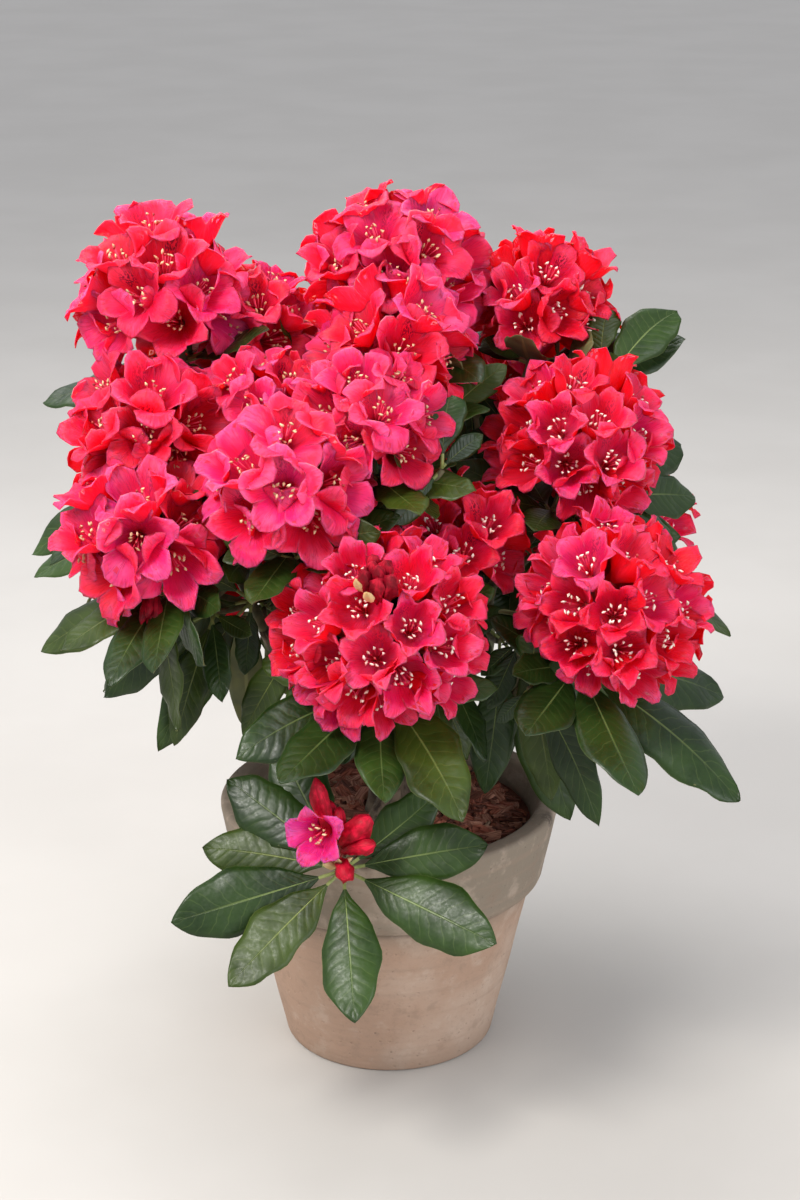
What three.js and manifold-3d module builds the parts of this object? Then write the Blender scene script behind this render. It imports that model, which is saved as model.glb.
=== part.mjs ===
import * as THREE from 'three';
import { mergeVertices } from 'three/addons/utils/BufferGeometryUtils.js';
import Module from 'manifold-3d';

const wasm = await Module();
wasm.setup();

// A large-leaved rhododendron in full flower in a plain clay pot.
// Millimetres, +Z up. The origin is the centre of the pot's flat underside.
// -Y is the side that is looked at.

// Clearance between pieces that touch on the real plant.
const GAP = 0.3;

// Corners closer together than this are one corner.
const WELD = 1e-4;

// The pot: a body that widens upwards under a tall band, with drain holes in its floor.
const POT_HEIGHT = 212;
const POT_FOOT_RADIUS = 87;
const POT_BODY_TOP_RADIUS = 119;
const POT_BAND_HEIGHT = 68;
const POT_BAND_FOOT_RADIUS = 127;
const POT_RIM_RADIUS = 140;
const POT_MOUTH_RADIUS = 123;
const POT_FLOOR = 14;
const POT_INNER_FOOT_RADIUS = 74;
const POT_EDGE = 3;
const POT_SIDES = 40;
const DRAIN_HOLES = 3;
const DRAIN_RADIUS = 7;
const DRAIN_SIDES = 10;
const DRAIN_CIRCLE = 42;

// The bark mulch and the growing medium under it, a little below the rim.
const MULCH_EDGE = 190;
const MULCH_CROWN = 197;

// The short stem that the boughs leave, and the boughs.
const STEM_TOP = 292;
const STEM_FOOT_RADIUS = 21;
const STEM_RADIUS = 15;
const STEM_FLARE = 4;
const STEM_SIDES = 10;
const STEM_STEPS = 4;
const BOUGH_LOW = 214;
const BOUGH_HIGH = 270;
const BOUGH_RADIUS = 6.2;
const BOUGH_TIP_RADIUS = 4.6;
const BOUGH_SHARE = 0.6;
const BOUGH_ELBOW = 0.4;
const BOUGH_BOW = 30;
const UPRIGHT_REACH = 40;
const BOUGH_SIDES = 6;
const BOUGH_STEPS = 4;

// A mass's stem, its twigs, and the straight shaft of each shoot that leaves and florets stand on.
const TWIG_STEM = 26;
const TWIG_STEM_RADIUS = 3.8;
const TWIG_RADIUS = 3;
const TWIG_TIP_RADIUS = 2.2;
const TWIG_SWAY = 5;
const TWIG_SIDES = 3;
const TWIG_STEPS = 2;
const SHAFT_RADIUS = 4.6;
const SHAFT_SIDES = 3;
const SHAFT_CROWN = 8;
const ROOT_DEPTH = 1.4;

// Every shoot points away from this spot below the crown.
const SHOOT_SOURCE = [0, 0, 50];

// The side that the light comes from. Each blade turns its face some way towards it.
const LIGHT = [-0.1, -0.95, 0.3];

// Leaves stand in a whorl below each truss.
const LEAF_LENGTH = 128;
const LEAF_SPREAD = 0.12;
const LEAF_TURN = 0.6;
const LEAF_WIDTH = 0.33;
const LEAF_THICKNESS = 1.8;
const LEAF_DROOP = 0.2;
const LEAF_FOLD = 0.16;
const LEAF_COUNT = 7;
const WHORL_HEIGHT = 8;
const WHORL_DEPTH = 0.92;
const WHORL_PLAY = 0.5;
const LENGTH_PLAY = 0.24;
const DROOP_PLAY = 0.8;
const LEAF_STRETCH = 0.9;
const LEAF_STATIONS = [0, 0.4, 0.8, 1];
const LEAF_FULLNESS = [0, 1, 0.76, 0];

// Florets: a thin stalk, then a funnel that opens into five pointed lobes.
const FLORETS_PER_MM = 0.125;
const FLORET_SPREAD = 2.1;
const FLORET_REACH = 0.87;
const FLORET_DEPTH = 0.5;
const FLORET_RIM = 0.44;
const FLORET_LOBES = 5;
const FLORET_NOTCH = 0.74;
const GOLDEN_ANGLE = Math.PI * (3 - Math.sqrt(5));
const STALK_RADIUS = 2.7;
const STALK_SIDES = 3;
const STALK_SPREAD = 0.7;
const THROAT_DEPTH = 0.22;
const HEART_DEPTH = 0.4;

// What would leave its mass's space is tried flatter and smaller, and then left out.
const FITS = [
  { size: 1, droop: 1 },
  { size: 1, droop: 0.35 },
  { size: 0.85, droop: 0.7 },
  { size: 0.85, droop: 0.15 },
  { size: 0.7, droop: 0.4 },
  { size: 0.7, droop: -0.1 },
];
const SITE_DEPTH = 0.45;
const SPACE_MARGIN = 1;
const LIMB_MARGIN = 2;
const LIMB_SPOTS = 40;
const NO_MASS = -1;

// Keys that tell one kind of chance from another.
const KEY_LENGTH = 1;
const KEY_DROOP = 2;
const KEY_BEARING = 3;
const KEY_HEIGHT = 5;
const KEY_SWAY = 7;
const KEY_TURN = 50;

// Each mass and its shoots: the centre and radius of each truss of flowers. Where a whorl isn't
// even, leaves holds the bearing of each leaf, in degrees around the shoot. reach, droop and turn
// are the length, the bend and the turn to the light of its leaves.
const MASSES = [
  { name: 'upper_left', shoots: [
    { at: [-178, 30, 627], radius: 66, leaves: [20, 70, 125, 172, 205, 262, 330] },
    { at: [-106, 50, 599], radius: 47 },
  ] },
  { name: 'left', shoots: [
    { at: [-182, -42, 541], radius: 57, leaves: [60, 140, 178, 212, 250, 290, 345] },
    { at: [-186, -100, 473], radius: 60, reach: 0.86, leaves: [15, 60, 105, 176, 206, 240, 272, 312] },
  ] },
  { name: 'front_left', shoots: [
    { at: [-75, -130, 522], radius: 59 },
    { at: [-13, -80, 553], radius: 52 },
  ] },
  { name: 'top', shoots: [
    { at: [5, 60, 637], radius: 67 },
    { at: [5, -10, 593], radius: 58 },
  ] },
  { name: 'upper_right', shoots: [
    { at: [125, 80, 608], radius: 55, droop: -0.22, turn: 2.4, leaves: [5, 32, 90, 150, 215, 262, 330] },
  ] },
  { name: 'right', shoots: [
    { at: [148, -20, 520], radius: 68, droop: 0.1, turn: 1.8,
      leaves: [-12, 16, 50, 110, 165, 205, 250, 318] },
  ] },
  { name: 'lower_right', shoots: [
    { at: [170, -120, 421], radius: 71, reach: 1.12, leaves: [20, 60, 120, 170, 214, 246, 280, 336] },
  ] },
  { name: 'front', shoots: [
    { at: [-6, -170, 424], radius: 77, leaves: [2, 28, 70, 112, 153, 203, 234, 268, 300] },
    { at: [59, -60, 460], radius: 46 },
  ] },
  { name: 'low_front', shoots: [
    { at: [-38, -196, 250], radius: 34, florets: 4, droop: 0.06, reach: 1.06,
      leaves: [7, 33, 118, 140, 165, 198, 226, 276, 330] },
  ] },
  { name: 'back_upper_left', shoots: [
    { at: [-125, 150, 560], radius: 58 },
    { at: [-205, 85, 470], radius: 50 },
  ] },
  { name: 'back_upper_right', shoots: [
    { at: [112, 185, 530], radius: 56 },
    { at: [195, 118, 425], radius: 55 },
  ] },
  { name: 'back_top', shoots: [
    { at: [10, 170, 575], radius: 58 },
    { at: [5, 225, 470], radius: 56 },
  ] },
  { name: 'back_left', shoots: [
    { at: [-120, 205, 450], radius: 56 },
    { at: [-160, 150, 352], radius: 50 },
  ] },
  { name: 'back_right', shoots: [
    { at: [120, 215, 430], radius: 56 },
    { at: [155, 160, 330], radius: 52 },
  ] },
  { name: 'low_back', shoots: [
    { at: [-5, 215, 335], radius: 52 },
  ] },
  { name: 'inner_left', shoots: [
    { at: [-93, -44, 557], radius: 42 },
  ] },
];

const CLAY = new THREE.MeshStandardMaterial({ color: 0xa8917f, roughness: 0.9, metalness: 0 });
const MULCH = new THREE.MeshStandardMaterial({ color: 0x4a2a1e, roughness: 0.95, metalness: 0 });
const BARK = new THREE.MeshStandardMaterial({ color: 0x6b5743, roughness: 0.9, metalness: 0 });
const FLOWERING = new THREE.MeshStandardMaterial({ color: 0xb3152f, roughness: 0.55, metalness: 0 });

function vector([x, y, z]) {
  return new THREE.Vector3(x, y, z);
}

// A repeatable number from 0 to 1 for each set of keys.
function chance(...keys) {
  let state = 2166136261;
  for (const key of keys) {
    state = Math.imul(state ^ key, 2654435761);
    state ^= state >>> 15;
    state = Math.imul(state, 2246822519);
    state ^= state >>> 13;
  }
  return (state >>> 0) / 4294967296;
}

// A factor near 1 that differs from leaf to leaf by up to half the given share either way.
function vary(share, ...keys) {
  return 1 + share * (chance(...keys) - 0.5);
}

function solidOf(geometry) {
  const bare = geometry.clone();
  bare.deleteAttribute('normal');
  bare.deleteAttribute('uv');
  const merged = mergeVertices(bare, WELD);
  return new wasm.Manifold(new wasm.Mesh({
    numProp: 3,
    vertProperties: new Float32Array(merged.attributes.position.array),
    triVerts: new Uint32Array(merged.index.array),
  }));
}

// The largest closed body of a solid: sealed hollows are filled and scraps dropped.
function wholeBody(solid) {
  const bodies = solid.decompose();
  return bodies.reduce((best, body) => (body.volume() > best.volume() ? body : best));
}

function meshOf(name, solid, material) {
  const { vertProperties, triVerts } = wholeBody(solid).getMesh();
  const geometry = new THREE.BufferGeometry();
  geometry.setAttribute('position', new THREE.BufferAttribute(vertProperties, 3));
  geometry.setIndex(new THREE.BufferAttribute(triVerts, 1));
  geometry.computeVertexNormals();
  const mesh = new THREE.Mesh(geometry, material);
  mesh.name = name;
  return mesh;
}

// A round limb along a curve, with a flat cut at each end.
function limb(curve, radiusAt, sides, steps) {
  const geometry = new THREE.CylinderGeometry(1, 1, 1, sides, steps);
  const frames = curve.computeFrenetFrames(steps);
  const points = geometry.attributes.position;
  for (let i = 0; i < points.count; i++) {
    const along = points.getY(i) + 0.5;
    const step = Math.round(along * steps);
    const radius = radiusAt(along);
    const place = curve.getPointAt(along)
      .addScaledVector(frames.normals[step], points.getX(i) * radius)
      .addScaledVector(frames.binormals[step], -points.getZ(i) * radius);
    points.setXYZ(i, place.x, place.y, place.z);
  }
  return geometry;
}

function taper(from, to) {
  return (along) => from + (to - from) * along;
}

// The pot

function potRadius(height) {
  const bandFoot = POT_HEIGHT - POT_BAND_HEIGHT;
  if (height < bandFoot) {
    return POT_FOOT_RADIUS + (POT_BODY_TOP_RADIUS - POT_FOOT_RADIUS) * height / bandFoot;
  }
  return POT_BAND_FOOT_RADIUS
    + (POT_RIM_RADIUS - POT_BAND_FOOT_RADIUS) * (height - bandFoot) / POT_BAND_HEIGHT;
}

function innerRadius(height) {
  return POT_INNER_FOOT_RADIUS
    + (POT_MOUTH_RADIUS - POT_INNER_FOOT_RADIUS) * (height - POT_FLOOR) / (POT_HEIGHT - POT_FLOOR);
}

function lathe(profile) {
  const points = profile.map(([radius, height]) => new THREE.Vector2(radius, height));
  const geometry = new THREE.LatheGeometry(points, POT_SIDES);
  return geometry.rotateX(Math.PI / 2);
}

function makePot() {
  const bandFoot = POT_HEIGHT - POT_BAND_HEIGHT;
  const shell = solidOf(lathe([
    [0, 0],
    [POT_FOOT_RADIUS - POT_EDGE, 0],
    [POT_FOOT_RADIUS, POT_EDGE],
    [POT_BODY_TOP_RADIUS, bandFoot],
    [POT_BAND_FOOT_RADIUS - POT_EDGE, bandFoot],
    [POT_BAND_FOOT_RADIUS, bandFoot + POT_EDGE],
    [POT_RIM_RADIUS, POT_HEIGHT - 2 * POT_EDGE],
    [POT_RIM_RADIUS - POT_EDGE, POT_HEIGHT],
    [innerRadius(POT_HEIGHT), POT_HEIGHT],
    [innerRadius(POT_FLOOR), POT_FLOOR],
    [0, POT_FLOOR],
  ]));
  const holes = Array.from({ length: DRAIN_HOLES }, (_, i) => {
    const hole = new THREE.CylinderGeometry(DRAIN_RADIUS, DRAIN_RADIUS, 3 * POT_FLOOR, DRAIN_SIDES);
    const bearing = (i + 0.5) / DRAIN_HOLES * 2 * Math.PI;
    hole.rotateX(Math.PI / 2);
    hole.translate(DRAIN_CIRCLE * Math.cos(bearing), DRAIN_CIRCLE * Math.sin(bearing), 0);
    return solidOf(hole);
  });
  return holes.reduce((pot, hole) => pot.subtract(hole), shell);
}

function makeMulch() {
  return solidOf(lathe([
    [0, POT_FLOOR + GAP],
    [innerRadius(POT_FLOOR) - GAP, POT_FLOOR + GAP],
    [innerRadius(MULCH_EDGE) - GAP, MULCH_EDGE],
    [2 * STEM_FOOT_RADIUS, MULCH_CROWN],
    [0, MULCH_CROWN],
  ]));
}

// The stem

function makeStem(swell) {
  const curve = new THREE.LineCurve3(
    new THREE.Vector3(0, 0, MULCH_CROWN + GAP - swell),
    new THREE.Vector3(0, 0, STEM_TOP + swell),
  );
  const flare = (along) => STEM_RADIUS + swell + (STEM_FOOT_RADIUS - STEM_RADIUS) * (1 - along) ** STEM_FLARE;
  return solidOf(limb(curve, flare, STEM_SIDES, STEM_STEPS));
}

// The shoots, the space of each mass and the boughs that carry them

const shoots = [];

for (const [massIndex, mass] of MASSES.entries()) {
  for (const given of mass.shoots) {
    const centre = vector(given.at);
    const axis = centre.clone().sub(vector(SHOOT_SOURCE)).normalize();
    const across = new THREE.Vector3(1, 0, 0).addScaledVector(axis, -axis.x).normalize();
    shoots.push({
      index: shoots.length,
      mass: massIndex,
      centre,
      axis,
      across,
      over: axis.clone().cross(across),
      radius: given.radius,
      whorl: centre.clone().addScaledVector(axis, -WHORL_DEPTH * given.radius),
      heart: centre.clone().addScaledVector(axis, -HEART_DEPTH * given.radius),
      site: centre.clone().addScaledVector(axis, -SITE_DEPTH * given.radius),
      leaves: given.leaves,
      droop: given.droop ?? LEAF_DROOP,
      turn: given.turn ?? 1,
      reach: given.reach ?? 1,
      florets: given.florets ?? Math.round(given.radius * FLORETS_PER_MM),
    });
  }
}

// The direction square to a shoot at an angle around it, from the right hand side backwards.
function around(shoot, angle) {
  return shoot.across.clone().multiplyScalar(Math.cos(angle))
    .addScaledVector(shoot.over, Math.sin(angle));
}

function shootsOf(massIndex) {
  return shoots.filter((shoot) => shoot.mass === massIndex);
}

// How far a spot is outside a truss, as the square of a tangent's length.
function power(spot, shoot) {
  return spot.distanceToSquared(shoot.site) - shoot.radius ** 2;
}

function inSpace(spot, massIndex) {
  const own = shootsOf(massIndex).reduce((best, shoot) => (
    power(spot, shoot) < power(spot, best) ? shoot : best));
  return shoots.every((other) => other.mass === massIndex
    || power(spot, other) - power(spot, own) > 2 * SPACE_MARGIN * other.site.distanceTo(own.site));
}

const goals = MASSES.map((_, massIndex) => shootsOf(massIndex)
  .reduce((sum, shoot, _i, own) => sum.addScaledVector(shoot.whorl, 1 / own.length), new THREE.Vector3()));

// Where a bough leaves the stem: the higher its mass, the higher. An upright one leaves the tip.
function boughRoot(goal) {
  if (Math.hypot(goal.x, goal.y) < UPRIGHT_REACH) {
    return new THREE.Vector3(0, 0, STEM_TOP);
  }
  const rank = goals.filter((other) => other.z < goal.z).length / (goals.length - 1);
  return new THREE.Vector3(0, 0, BOUGH_LOW + (BOUGH_HIGH - BOUGH_LOW) * rank);
}

function makeBough(goal) {
  const root = boughRoot(goal);
  const tip = root.clone().lerp(goal, BOUGH_SHARE);
  const outward = new THREE.Vector3(goal.x, goal.y, 0);
  const bow = outward.length() < UPRIGHT_REACH ? 0 : BOUGH_BOW;
  const elbow = root.clone().lerp(tip, BOUGH_ELBOW).addScaledVector(outward.normalize(), bow);
  const curve = new THREE.QuadraticBezierCurve3(root, elbow, tip);
  const line = limb(curve, taper(BOUGH_RADIUS, BOUGH_TIP_RADIUS), BOUGH_SIDES, BOUGH_STEPS);
  return { curve, tip, aim: curve.getTangentAt(1), solid: solidOf(line).subtract(makeStem(GAP)) };
}

const boughs = goals.map(makeBough);

// The twigs of a mass fork from one stem that goes on from its bough's tip.
function makeTwigs(bough, massIndex) {
  const foot = bough.tip.clone().addScaledVector(bough.aim, GAP);
  const fork = foot.clone().addScaledVector(bough.aim, TWIG_STEM);
  const start = fork.clone().addScaledVector(bough.aim, -TWIG_STEM_RADIUS);
  const twigs = shootsOf(massIndex).map((shoot) => {
    const sway = around(shoot, 2 * Math.PI * chance(shoot.index, KEY_SWAY)).multiplyScalar(TWIG_SWAY);
    const bend = fork.clone().lerp(shoot.whorl, 0.5).add(sway);
    return new THREE.QuadraticBezierCurve3(start, bend, shoot.whorl);
  });
  return { stem: new THREE.LineCurve3(foot, fork), twigs };
}

const growths = boughs.map(makeTwigs);

// Spots along every limb, so that leaves and florets keep off them. A mass may touch its own twigs.
function spotsAlong(curve, radius, massIndex) {
  return Array.from({ length: LIMB_SPOTS + 1 }, (_, i) => (
    { spot: curve.getPointAt(i / LIMB_SPOTS), reach: radius + LIMB_MARGIN, massIndex }));
}

const limbSpots = [
  ...boughs.flatMap(({ curve }) => spotsAlong(curve, BOUGH_RADIUS, NO_MASS)),
  ...growths.flatMap(({ stem, twigs }, massIndex) => (
    [stem, ...twigs].flatMap((curve) => spotsAlong(curve, BOUGH_TIP_RADIUS, massIndex)))),
];

function touchesLimb(spot, massIndex) {
  const beside = Math.hypot(spot.x, spot.y);
  const inPot = spot.z < POT_HEIGHT + LIMB_MARGIN && beside < potRadius(spot.z) + LIMB_MARGIN;
  const inStem = spot.z < STEM_TOP + LIMB_MARGIN && beside < STEM_FOOT_RADIUS + LIMB_MARGIN;
  return inPot || inStem || limbSpots.some((limbSpot) => (
    limbSpot.massIndex !== massIndex && spot.distanceTo(limbSpot.spot) < limbSpot.reach));
}

// Spots spread over the faces of a shape, close enough together to find a limb between them.
function spotsOn(geometry) {
  const points = geometry.attributes.position;
  const corners = Array.from(geometry.index.array, (i) => new THREE.Vector3().fromBufferAttribute(points, i));
  const spots = [];
  for (let i = 0; i < corners.length; i += 3) {
    const [a, b, c] = corners.slice(i, i + 3);
    spots.push(a);
    for (const share of [0.25, 0.5, 0.75]) {
      spots.push(a.clone().lerp(b, share), b.clone().lerp(c, share), c.clone().lerp(a, share));
    }
    spots.push(a.clone().add(b).add(c).divideScalar(3));
  }
  return spots;
}

function fitsIn(geometry, massIndex) {
  return spotsOn(geometry).every((spot) => inSpace(spot, massIndex) && !touchesLimb(spot, massIndex));
}

// The largest of the tried sizes that keeps to the mass's space, or nothing.
function grow(make, massIndex) {
  for (const fit of FITS) {
    const geometry = make(fit);
    if (fitsIn(geometry, massIndex)) {
      return [solidOf(geometry)];
    }
  }
  return [];
}

// Leaves

// The bearings of a shoot's leaves: as given, or evenly around the shoot with some play.
function bearingsOf(shoot) {
  if (shoot.leaves) {
    return shoot.leaves;
  }
  const step = 360 / LEAF_COUNT;
  const first = 360 * chance(shoot.index, KEY_TURN);
  return Array.from({ length: LEAF_COUNT }, (_, i) => (
    first + step * (i + WHORL_PLAY * (chance(shoot.index, i, KEY_BEARING) - 0.5))));
}

// The line of a leaf's midrib, which leaves the shaft outwards and bends down to its tip.
function midrib(shoot, number, bearing, fit) {
  const outward = around(shoot, THREE.MathUtils.degToRad(bearing));
  const aim = outward.clone().addScaledVector(shoot.axis, LEAF_SPREAD).normalize();
  const length = LEAF_LENGTH * shoot.reach * fit.size * vary(LENGTH_PLAY, shoot.index, number, KEY_LENGTH);
  const droop = fit.droop * shoot.droop * length * vary(DROOP_PLAY, shoot.index, number, KEY_DROOP);
  const root = shoot.whorl.clone().addScaledVector(outward, ROOT_DEPTH)
    .addScaledVector(shoot.axis, WHORL_HEIGHT * (chance(shoot.index, number, KEY_HEIGHT) - 0.5));
  const bend = root.clone().addScaledVector(aim, 0.5 * length);
  const tip = root.clone().addScaledVector(aim, LEAF_STRETCH * length);
  tip.z -= droop;
  return { curve: new THREE.QuadraticBezierCurve3(root, bend, tip), aim, length };
}

// A folded blade along its midrib. The four-sided rings between its ends come from a coarse sphere.
function leaf(shoot, number, bearing, fit) {
  const { curve, aim, length } = midrib(shoot, number, bearing, fit);
  const face = shoot.axis.clone().addScaledVector(vector(LIGHT), LEAF_TURN * shoot.turn);
  const side = face.cross(aim).normalize();
  const rings = LEAF_STATIONS.length - 1;
  const blade = new THREE.SphereGeometry(1, 4, rings);
  const points = blade.attributes.position;
  for (let i = 0; i < points.count; i++) {
    const station = Math.round(Math.acos(points.getY(i)) / Math.PI * rings);
    const along = LEAF_STATIONS[station];
    const place = curve.getPoint(along);
    const halfWidth = 0.5 * LEAF_WIDTH * length * LEAF_FULLNESS[station];
    if (halfWidth > 0) {
      const ring = Math.hypot(points.getX(i), points.getZ(i));
      const across = points.getX(i) / ring * halfWidth;
      const upper = curve.getTangent(along).cross(side).normalize();
      const lift = points.getZ(i) / ring * 0.5 * LEAF_THICKNESS + Math.abs(across) * LEAF_FOLD;
      place.addScaledVector(side, across).addScaledVector(upper, lift);
    }
    points.setXYZ(i, place.x, place.y, place.z);
  }
  return blade;
}

// Florets

// Where a floret stands: florets are spread over the truss by the golden angle, from its top down.
function floretPlace(shoot, number, fit) {
  const size = shoot.radius * fit.size;
  const fall = FLORET_SPREAD * Math.sqrt((number + 0.5) / shoot.florets);
  const turn = number * GOLDEN_ANGLE + 2 * Math.PI * chance(shoot.index, KEY_TURN);
  const outward = around(shoot, turn).multiplyScalar(Math.sin(fall))
    .addScaledVector(shoot.axis, Math.cos(fall));
  const mouth = shoot.centre.clone().addScaledVector(outward, FLORET_REACH * size);
  const aim = mouth.clone().sub(shoot.heart).normalize();
  const root = shoot.heart.clone().addScaledVector(outward, ROOT_DEPTH)
    .addScaledVector(shoot.axis, STALK_SPREAD * SHAFT_CROWN * Math.cos(fall));
  return { root, mouth, aim, size };
}

// The spots of a ring around an axis.
function ringAround(centre, aim, turn, radii) {
  const across = new THREE.Vector3(0, 0, 1).cross(aim).normalize();
  const over = aim.clone().cross(across);
  return radii.map((radius, i) => {
    const angle = turn + i / radii.length * 2 * Math.PI;
    return centre.clone().addScaledVector(across, radius * Math.cos(angle))
      .addScaledVector(over, radius * Math.sin(angle));
  });
}

// A three-sided stalk, then a funnel to a rim of lobes and notches, hollow down to its throat.
function floret(shoot, number, fit) {
  const { root, mouth, aim, size } = floretPlace(shoot, number, fit);
  const turn = 2 * Math.PI * chance(shoot.index, number, KEY_TURN);
  const base = mouth.clone().addScaledVector(aim, -FLORET_DEPTH * size);
  const throat = mouth.clone().addScaledVector(aim, -THROAT_DEPTH * size);
  const rim = Array.from({ length: 2 * FLORET_LOBES }, (_, i) => (
    FLORET_RIM * size * (i % 2 ? FLORET_NOTCH : 1)));
  const stalk = Array.from({ length: STALK_SIDES }, () => STALK_RADIUS);
  const places = [root, throat, ...ringAround(base, aim, turn, stalk), ...ringAround(mouth, aim, turn, rim)];
  const stalkSpot = (i) => 2 + i % STALK_SIDES;
  const rimSpot = (i) => 2 + STALK_SIDES + i % rim.length;
  const faces = [];
  for (let i = 0; i < STALK_SIDES; i++) {
    faces.push(0, stalkSpot(i + 1), stalkSpot(i));
  }
  for (let i = 0; i < rim.length; i++) {
    const side = Math.round(i * STALK_SIDES / rim.length);
    const nextSide = Math.round((i + 1) * STALK_SIDES / rim.length);
    faces.push(stalkSpot(side), rimSpot(i + 1), rimSpot(i));
    faces.push(1, rimSpot(i), rimSpot(i + 1));
    if (nextSide !== side) {
      faces.push(stalkSpot(side), stalkSpot(nextSide), rimSpot(i + 1));
    }
  }
  const geometry = new THREE.BufferGeometry().setFromPoints(places);
  geometry.setIndex(faces);
  return geometry;
}

// Masses

function makeMass(massIndex) {
  const { stem, twigs } = growths[massIndex];
  const pieces = [solidOf(limb(stem, taper(BOUGH_TIP_RADIUS, TWIG_STEM_RADIUS), BOUGH_SIDES, 1))];
  for (const [order, shoot] of shootsOf(massIndex).entries()) {
    const twig = limb(twigs[order], taper(TWIG_RADIUS, TWIG_TIP_RADIUS), TWIG_SIDES, TWIG_STEPS);
    const foot = shoot.whorl.clone().addScaledVector(shoot.axis, -WHORL_HEIGHT);
    const crown = shoot.heart.clone().addScaledVector(shoot.axis, SHAFT_CROWN);
    const shaft = limb(new THREE.LineCurve3(foot, crown), () => SHAFT_RADIUS, SHAFT_SIDES, 1);
    pieces.push(solidOf(twig), solidOf(shaft));
    for (let i = 0; i < shoot.florets; i++) {
      pieces.push(...grow((fit) => floret(shoot, i, fit), massIndex));
    }
    for (const [i, bearing] of bearingsOf(shoot).entries()) {
      pieces.push(...grow((fit) => leaf(shoot, i, bearing, fit), massIndex));
    }
  }
  return pieces.reduce((mass, piece) => mass.add(piece));
}

const plant = new THREE.Group();
plant.add(meshOf('pot', makePot(), CLAY));
plant.add(meshOf('bark_mulch', makeMulch(), MULCH));
plant.add(meshOf('main_stem', makeStem(0), BARK));
for (const [massIndex, { name }] of MASSES.entries()) {
  plant.add(meshOf(`bough_${name}`, boughs[massIndex].solid, BARK));
  plant.add(meshOf(`mass_${name}`, makeMass(massIndex), FLOWERING));
}

export default plant;
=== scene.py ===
import math

import bmesh
import bpy
import numpy as np
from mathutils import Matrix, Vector, noise


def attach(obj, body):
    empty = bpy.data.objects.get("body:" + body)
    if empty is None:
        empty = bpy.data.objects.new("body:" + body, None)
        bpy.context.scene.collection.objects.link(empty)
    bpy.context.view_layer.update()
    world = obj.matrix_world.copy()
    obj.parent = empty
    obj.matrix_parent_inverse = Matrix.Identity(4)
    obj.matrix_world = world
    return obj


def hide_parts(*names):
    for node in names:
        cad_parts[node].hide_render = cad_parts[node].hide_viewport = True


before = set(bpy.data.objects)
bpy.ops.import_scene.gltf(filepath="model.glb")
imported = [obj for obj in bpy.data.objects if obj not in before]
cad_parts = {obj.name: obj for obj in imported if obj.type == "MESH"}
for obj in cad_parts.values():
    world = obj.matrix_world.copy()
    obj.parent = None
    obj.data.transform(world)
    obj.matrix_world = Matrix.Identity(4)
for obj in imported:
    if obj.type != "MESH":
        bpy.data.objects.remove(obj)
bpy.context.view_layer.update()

# A large-leaved rhododendron in full flower in a plain clay pot.
# Shapes are worked out in millimetres and written to their meshes in metres.
MM = 0.001

# The sizes that this script shares with the solids.
POT_HEIGHT = 212
POT_FOOT_RADIUS = 87
POT_BODY_TOP_RADIUS = 119
POT_BAND_HEIGHT = 68
POT_BAND_FOOT_RADIUS = 127
POT_RIM_RADIUS = 140
POT_MOUTH_RADIUS = 123
POT_FLOOR = 14
POT_INNER_FOOT_RADIUS = 74
DRAIN_HOLES = 3
DRAIN_RADIUS = 7
DRAIN_CIRCLE = 42
MULCH_EDGE = 190
MULCH_CROWN = 197
STEM_TOP = 292
STEM_FOOT_RADIUS = 21
STEM_RADIUS = 15
STEM_FLARE = 4
BOUGH_LOW = 214
BOUGH_HIGH = 270
BOUGH_RADIUS = 6.2
BOUGH_TIP_RADIUS = 4.6
BOUGH_SHARE = 0.6
BOUGH_ELBOW = 0.4
BOUGH_BOW = 30
UPRIGHT_REACH = 40
TWIG_STEM = 26
TWIG_STEM_RADIUS = 3.8
TWIG_RADIUS = 3
TWIG_TIP_RADIUS = 2.2
TWIG_SWAY = 5
SHAFT_RADIUS = 2.6
SHAFT_CROWN = 8
ROOT_DEPTH = 1.4
SHOOT_SOURCE = np.array([0.0, 0.0, 50.0])
LIGHT = np.array([-0.1, -0.95, 0.3])
LEAF_LENGTH = 128
LEAF_SPREAD = 0.12
LEAF_TURN = 0.6
LEAF_WIDTH = 0.33
LEAF_THICKNESS = 1.8
LEAF_DROOP = 0.2
LEAF_FOLD = 0.16
LEAF_COUNT = 7
WHORL_HEIGHT = 8
WHORL_DEPTH = 0.92
WHORL_PLAY = 0.5
LENGTH_PLAY = 0.24
DROOP_PLAY = 0.8
LEAF_STRETCH = 0.9
LEAF_STATIONS = [0, 0.4, 0.8, 1]
LEAF_FULLNESS = [0, 1, 0.76, 0]
FLORET_SPREAD = 2.1
FLORET_REACH = 0.87
FLORET_DEPTH = 0.5
FLORET_RIM = 0.44
FLORET_LOBES = 5
FLORET_NOTCH = 0.74
GOLDEN_ANGLE = math.pi * (3 - math.sqrt(5))
STALK_SPREAD = 0.7
HEART_DEPTH = 0.4
SITE_DEPTH = 0.45
SPACE_MARGIN = 1
LIMB_MARGIN = 2
LIMB_SPOTS = 40
NO_MASS = -1

# Each kind of random draw has a key of its own. These are shared with the solids.
KEY_LENGTH = 1
KEY_DROOP = 2
KEY_BEARING = 3
KEY_HEIGHT = 5
KEY_SWAY = 7
KEY_TURN = 50

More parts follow.
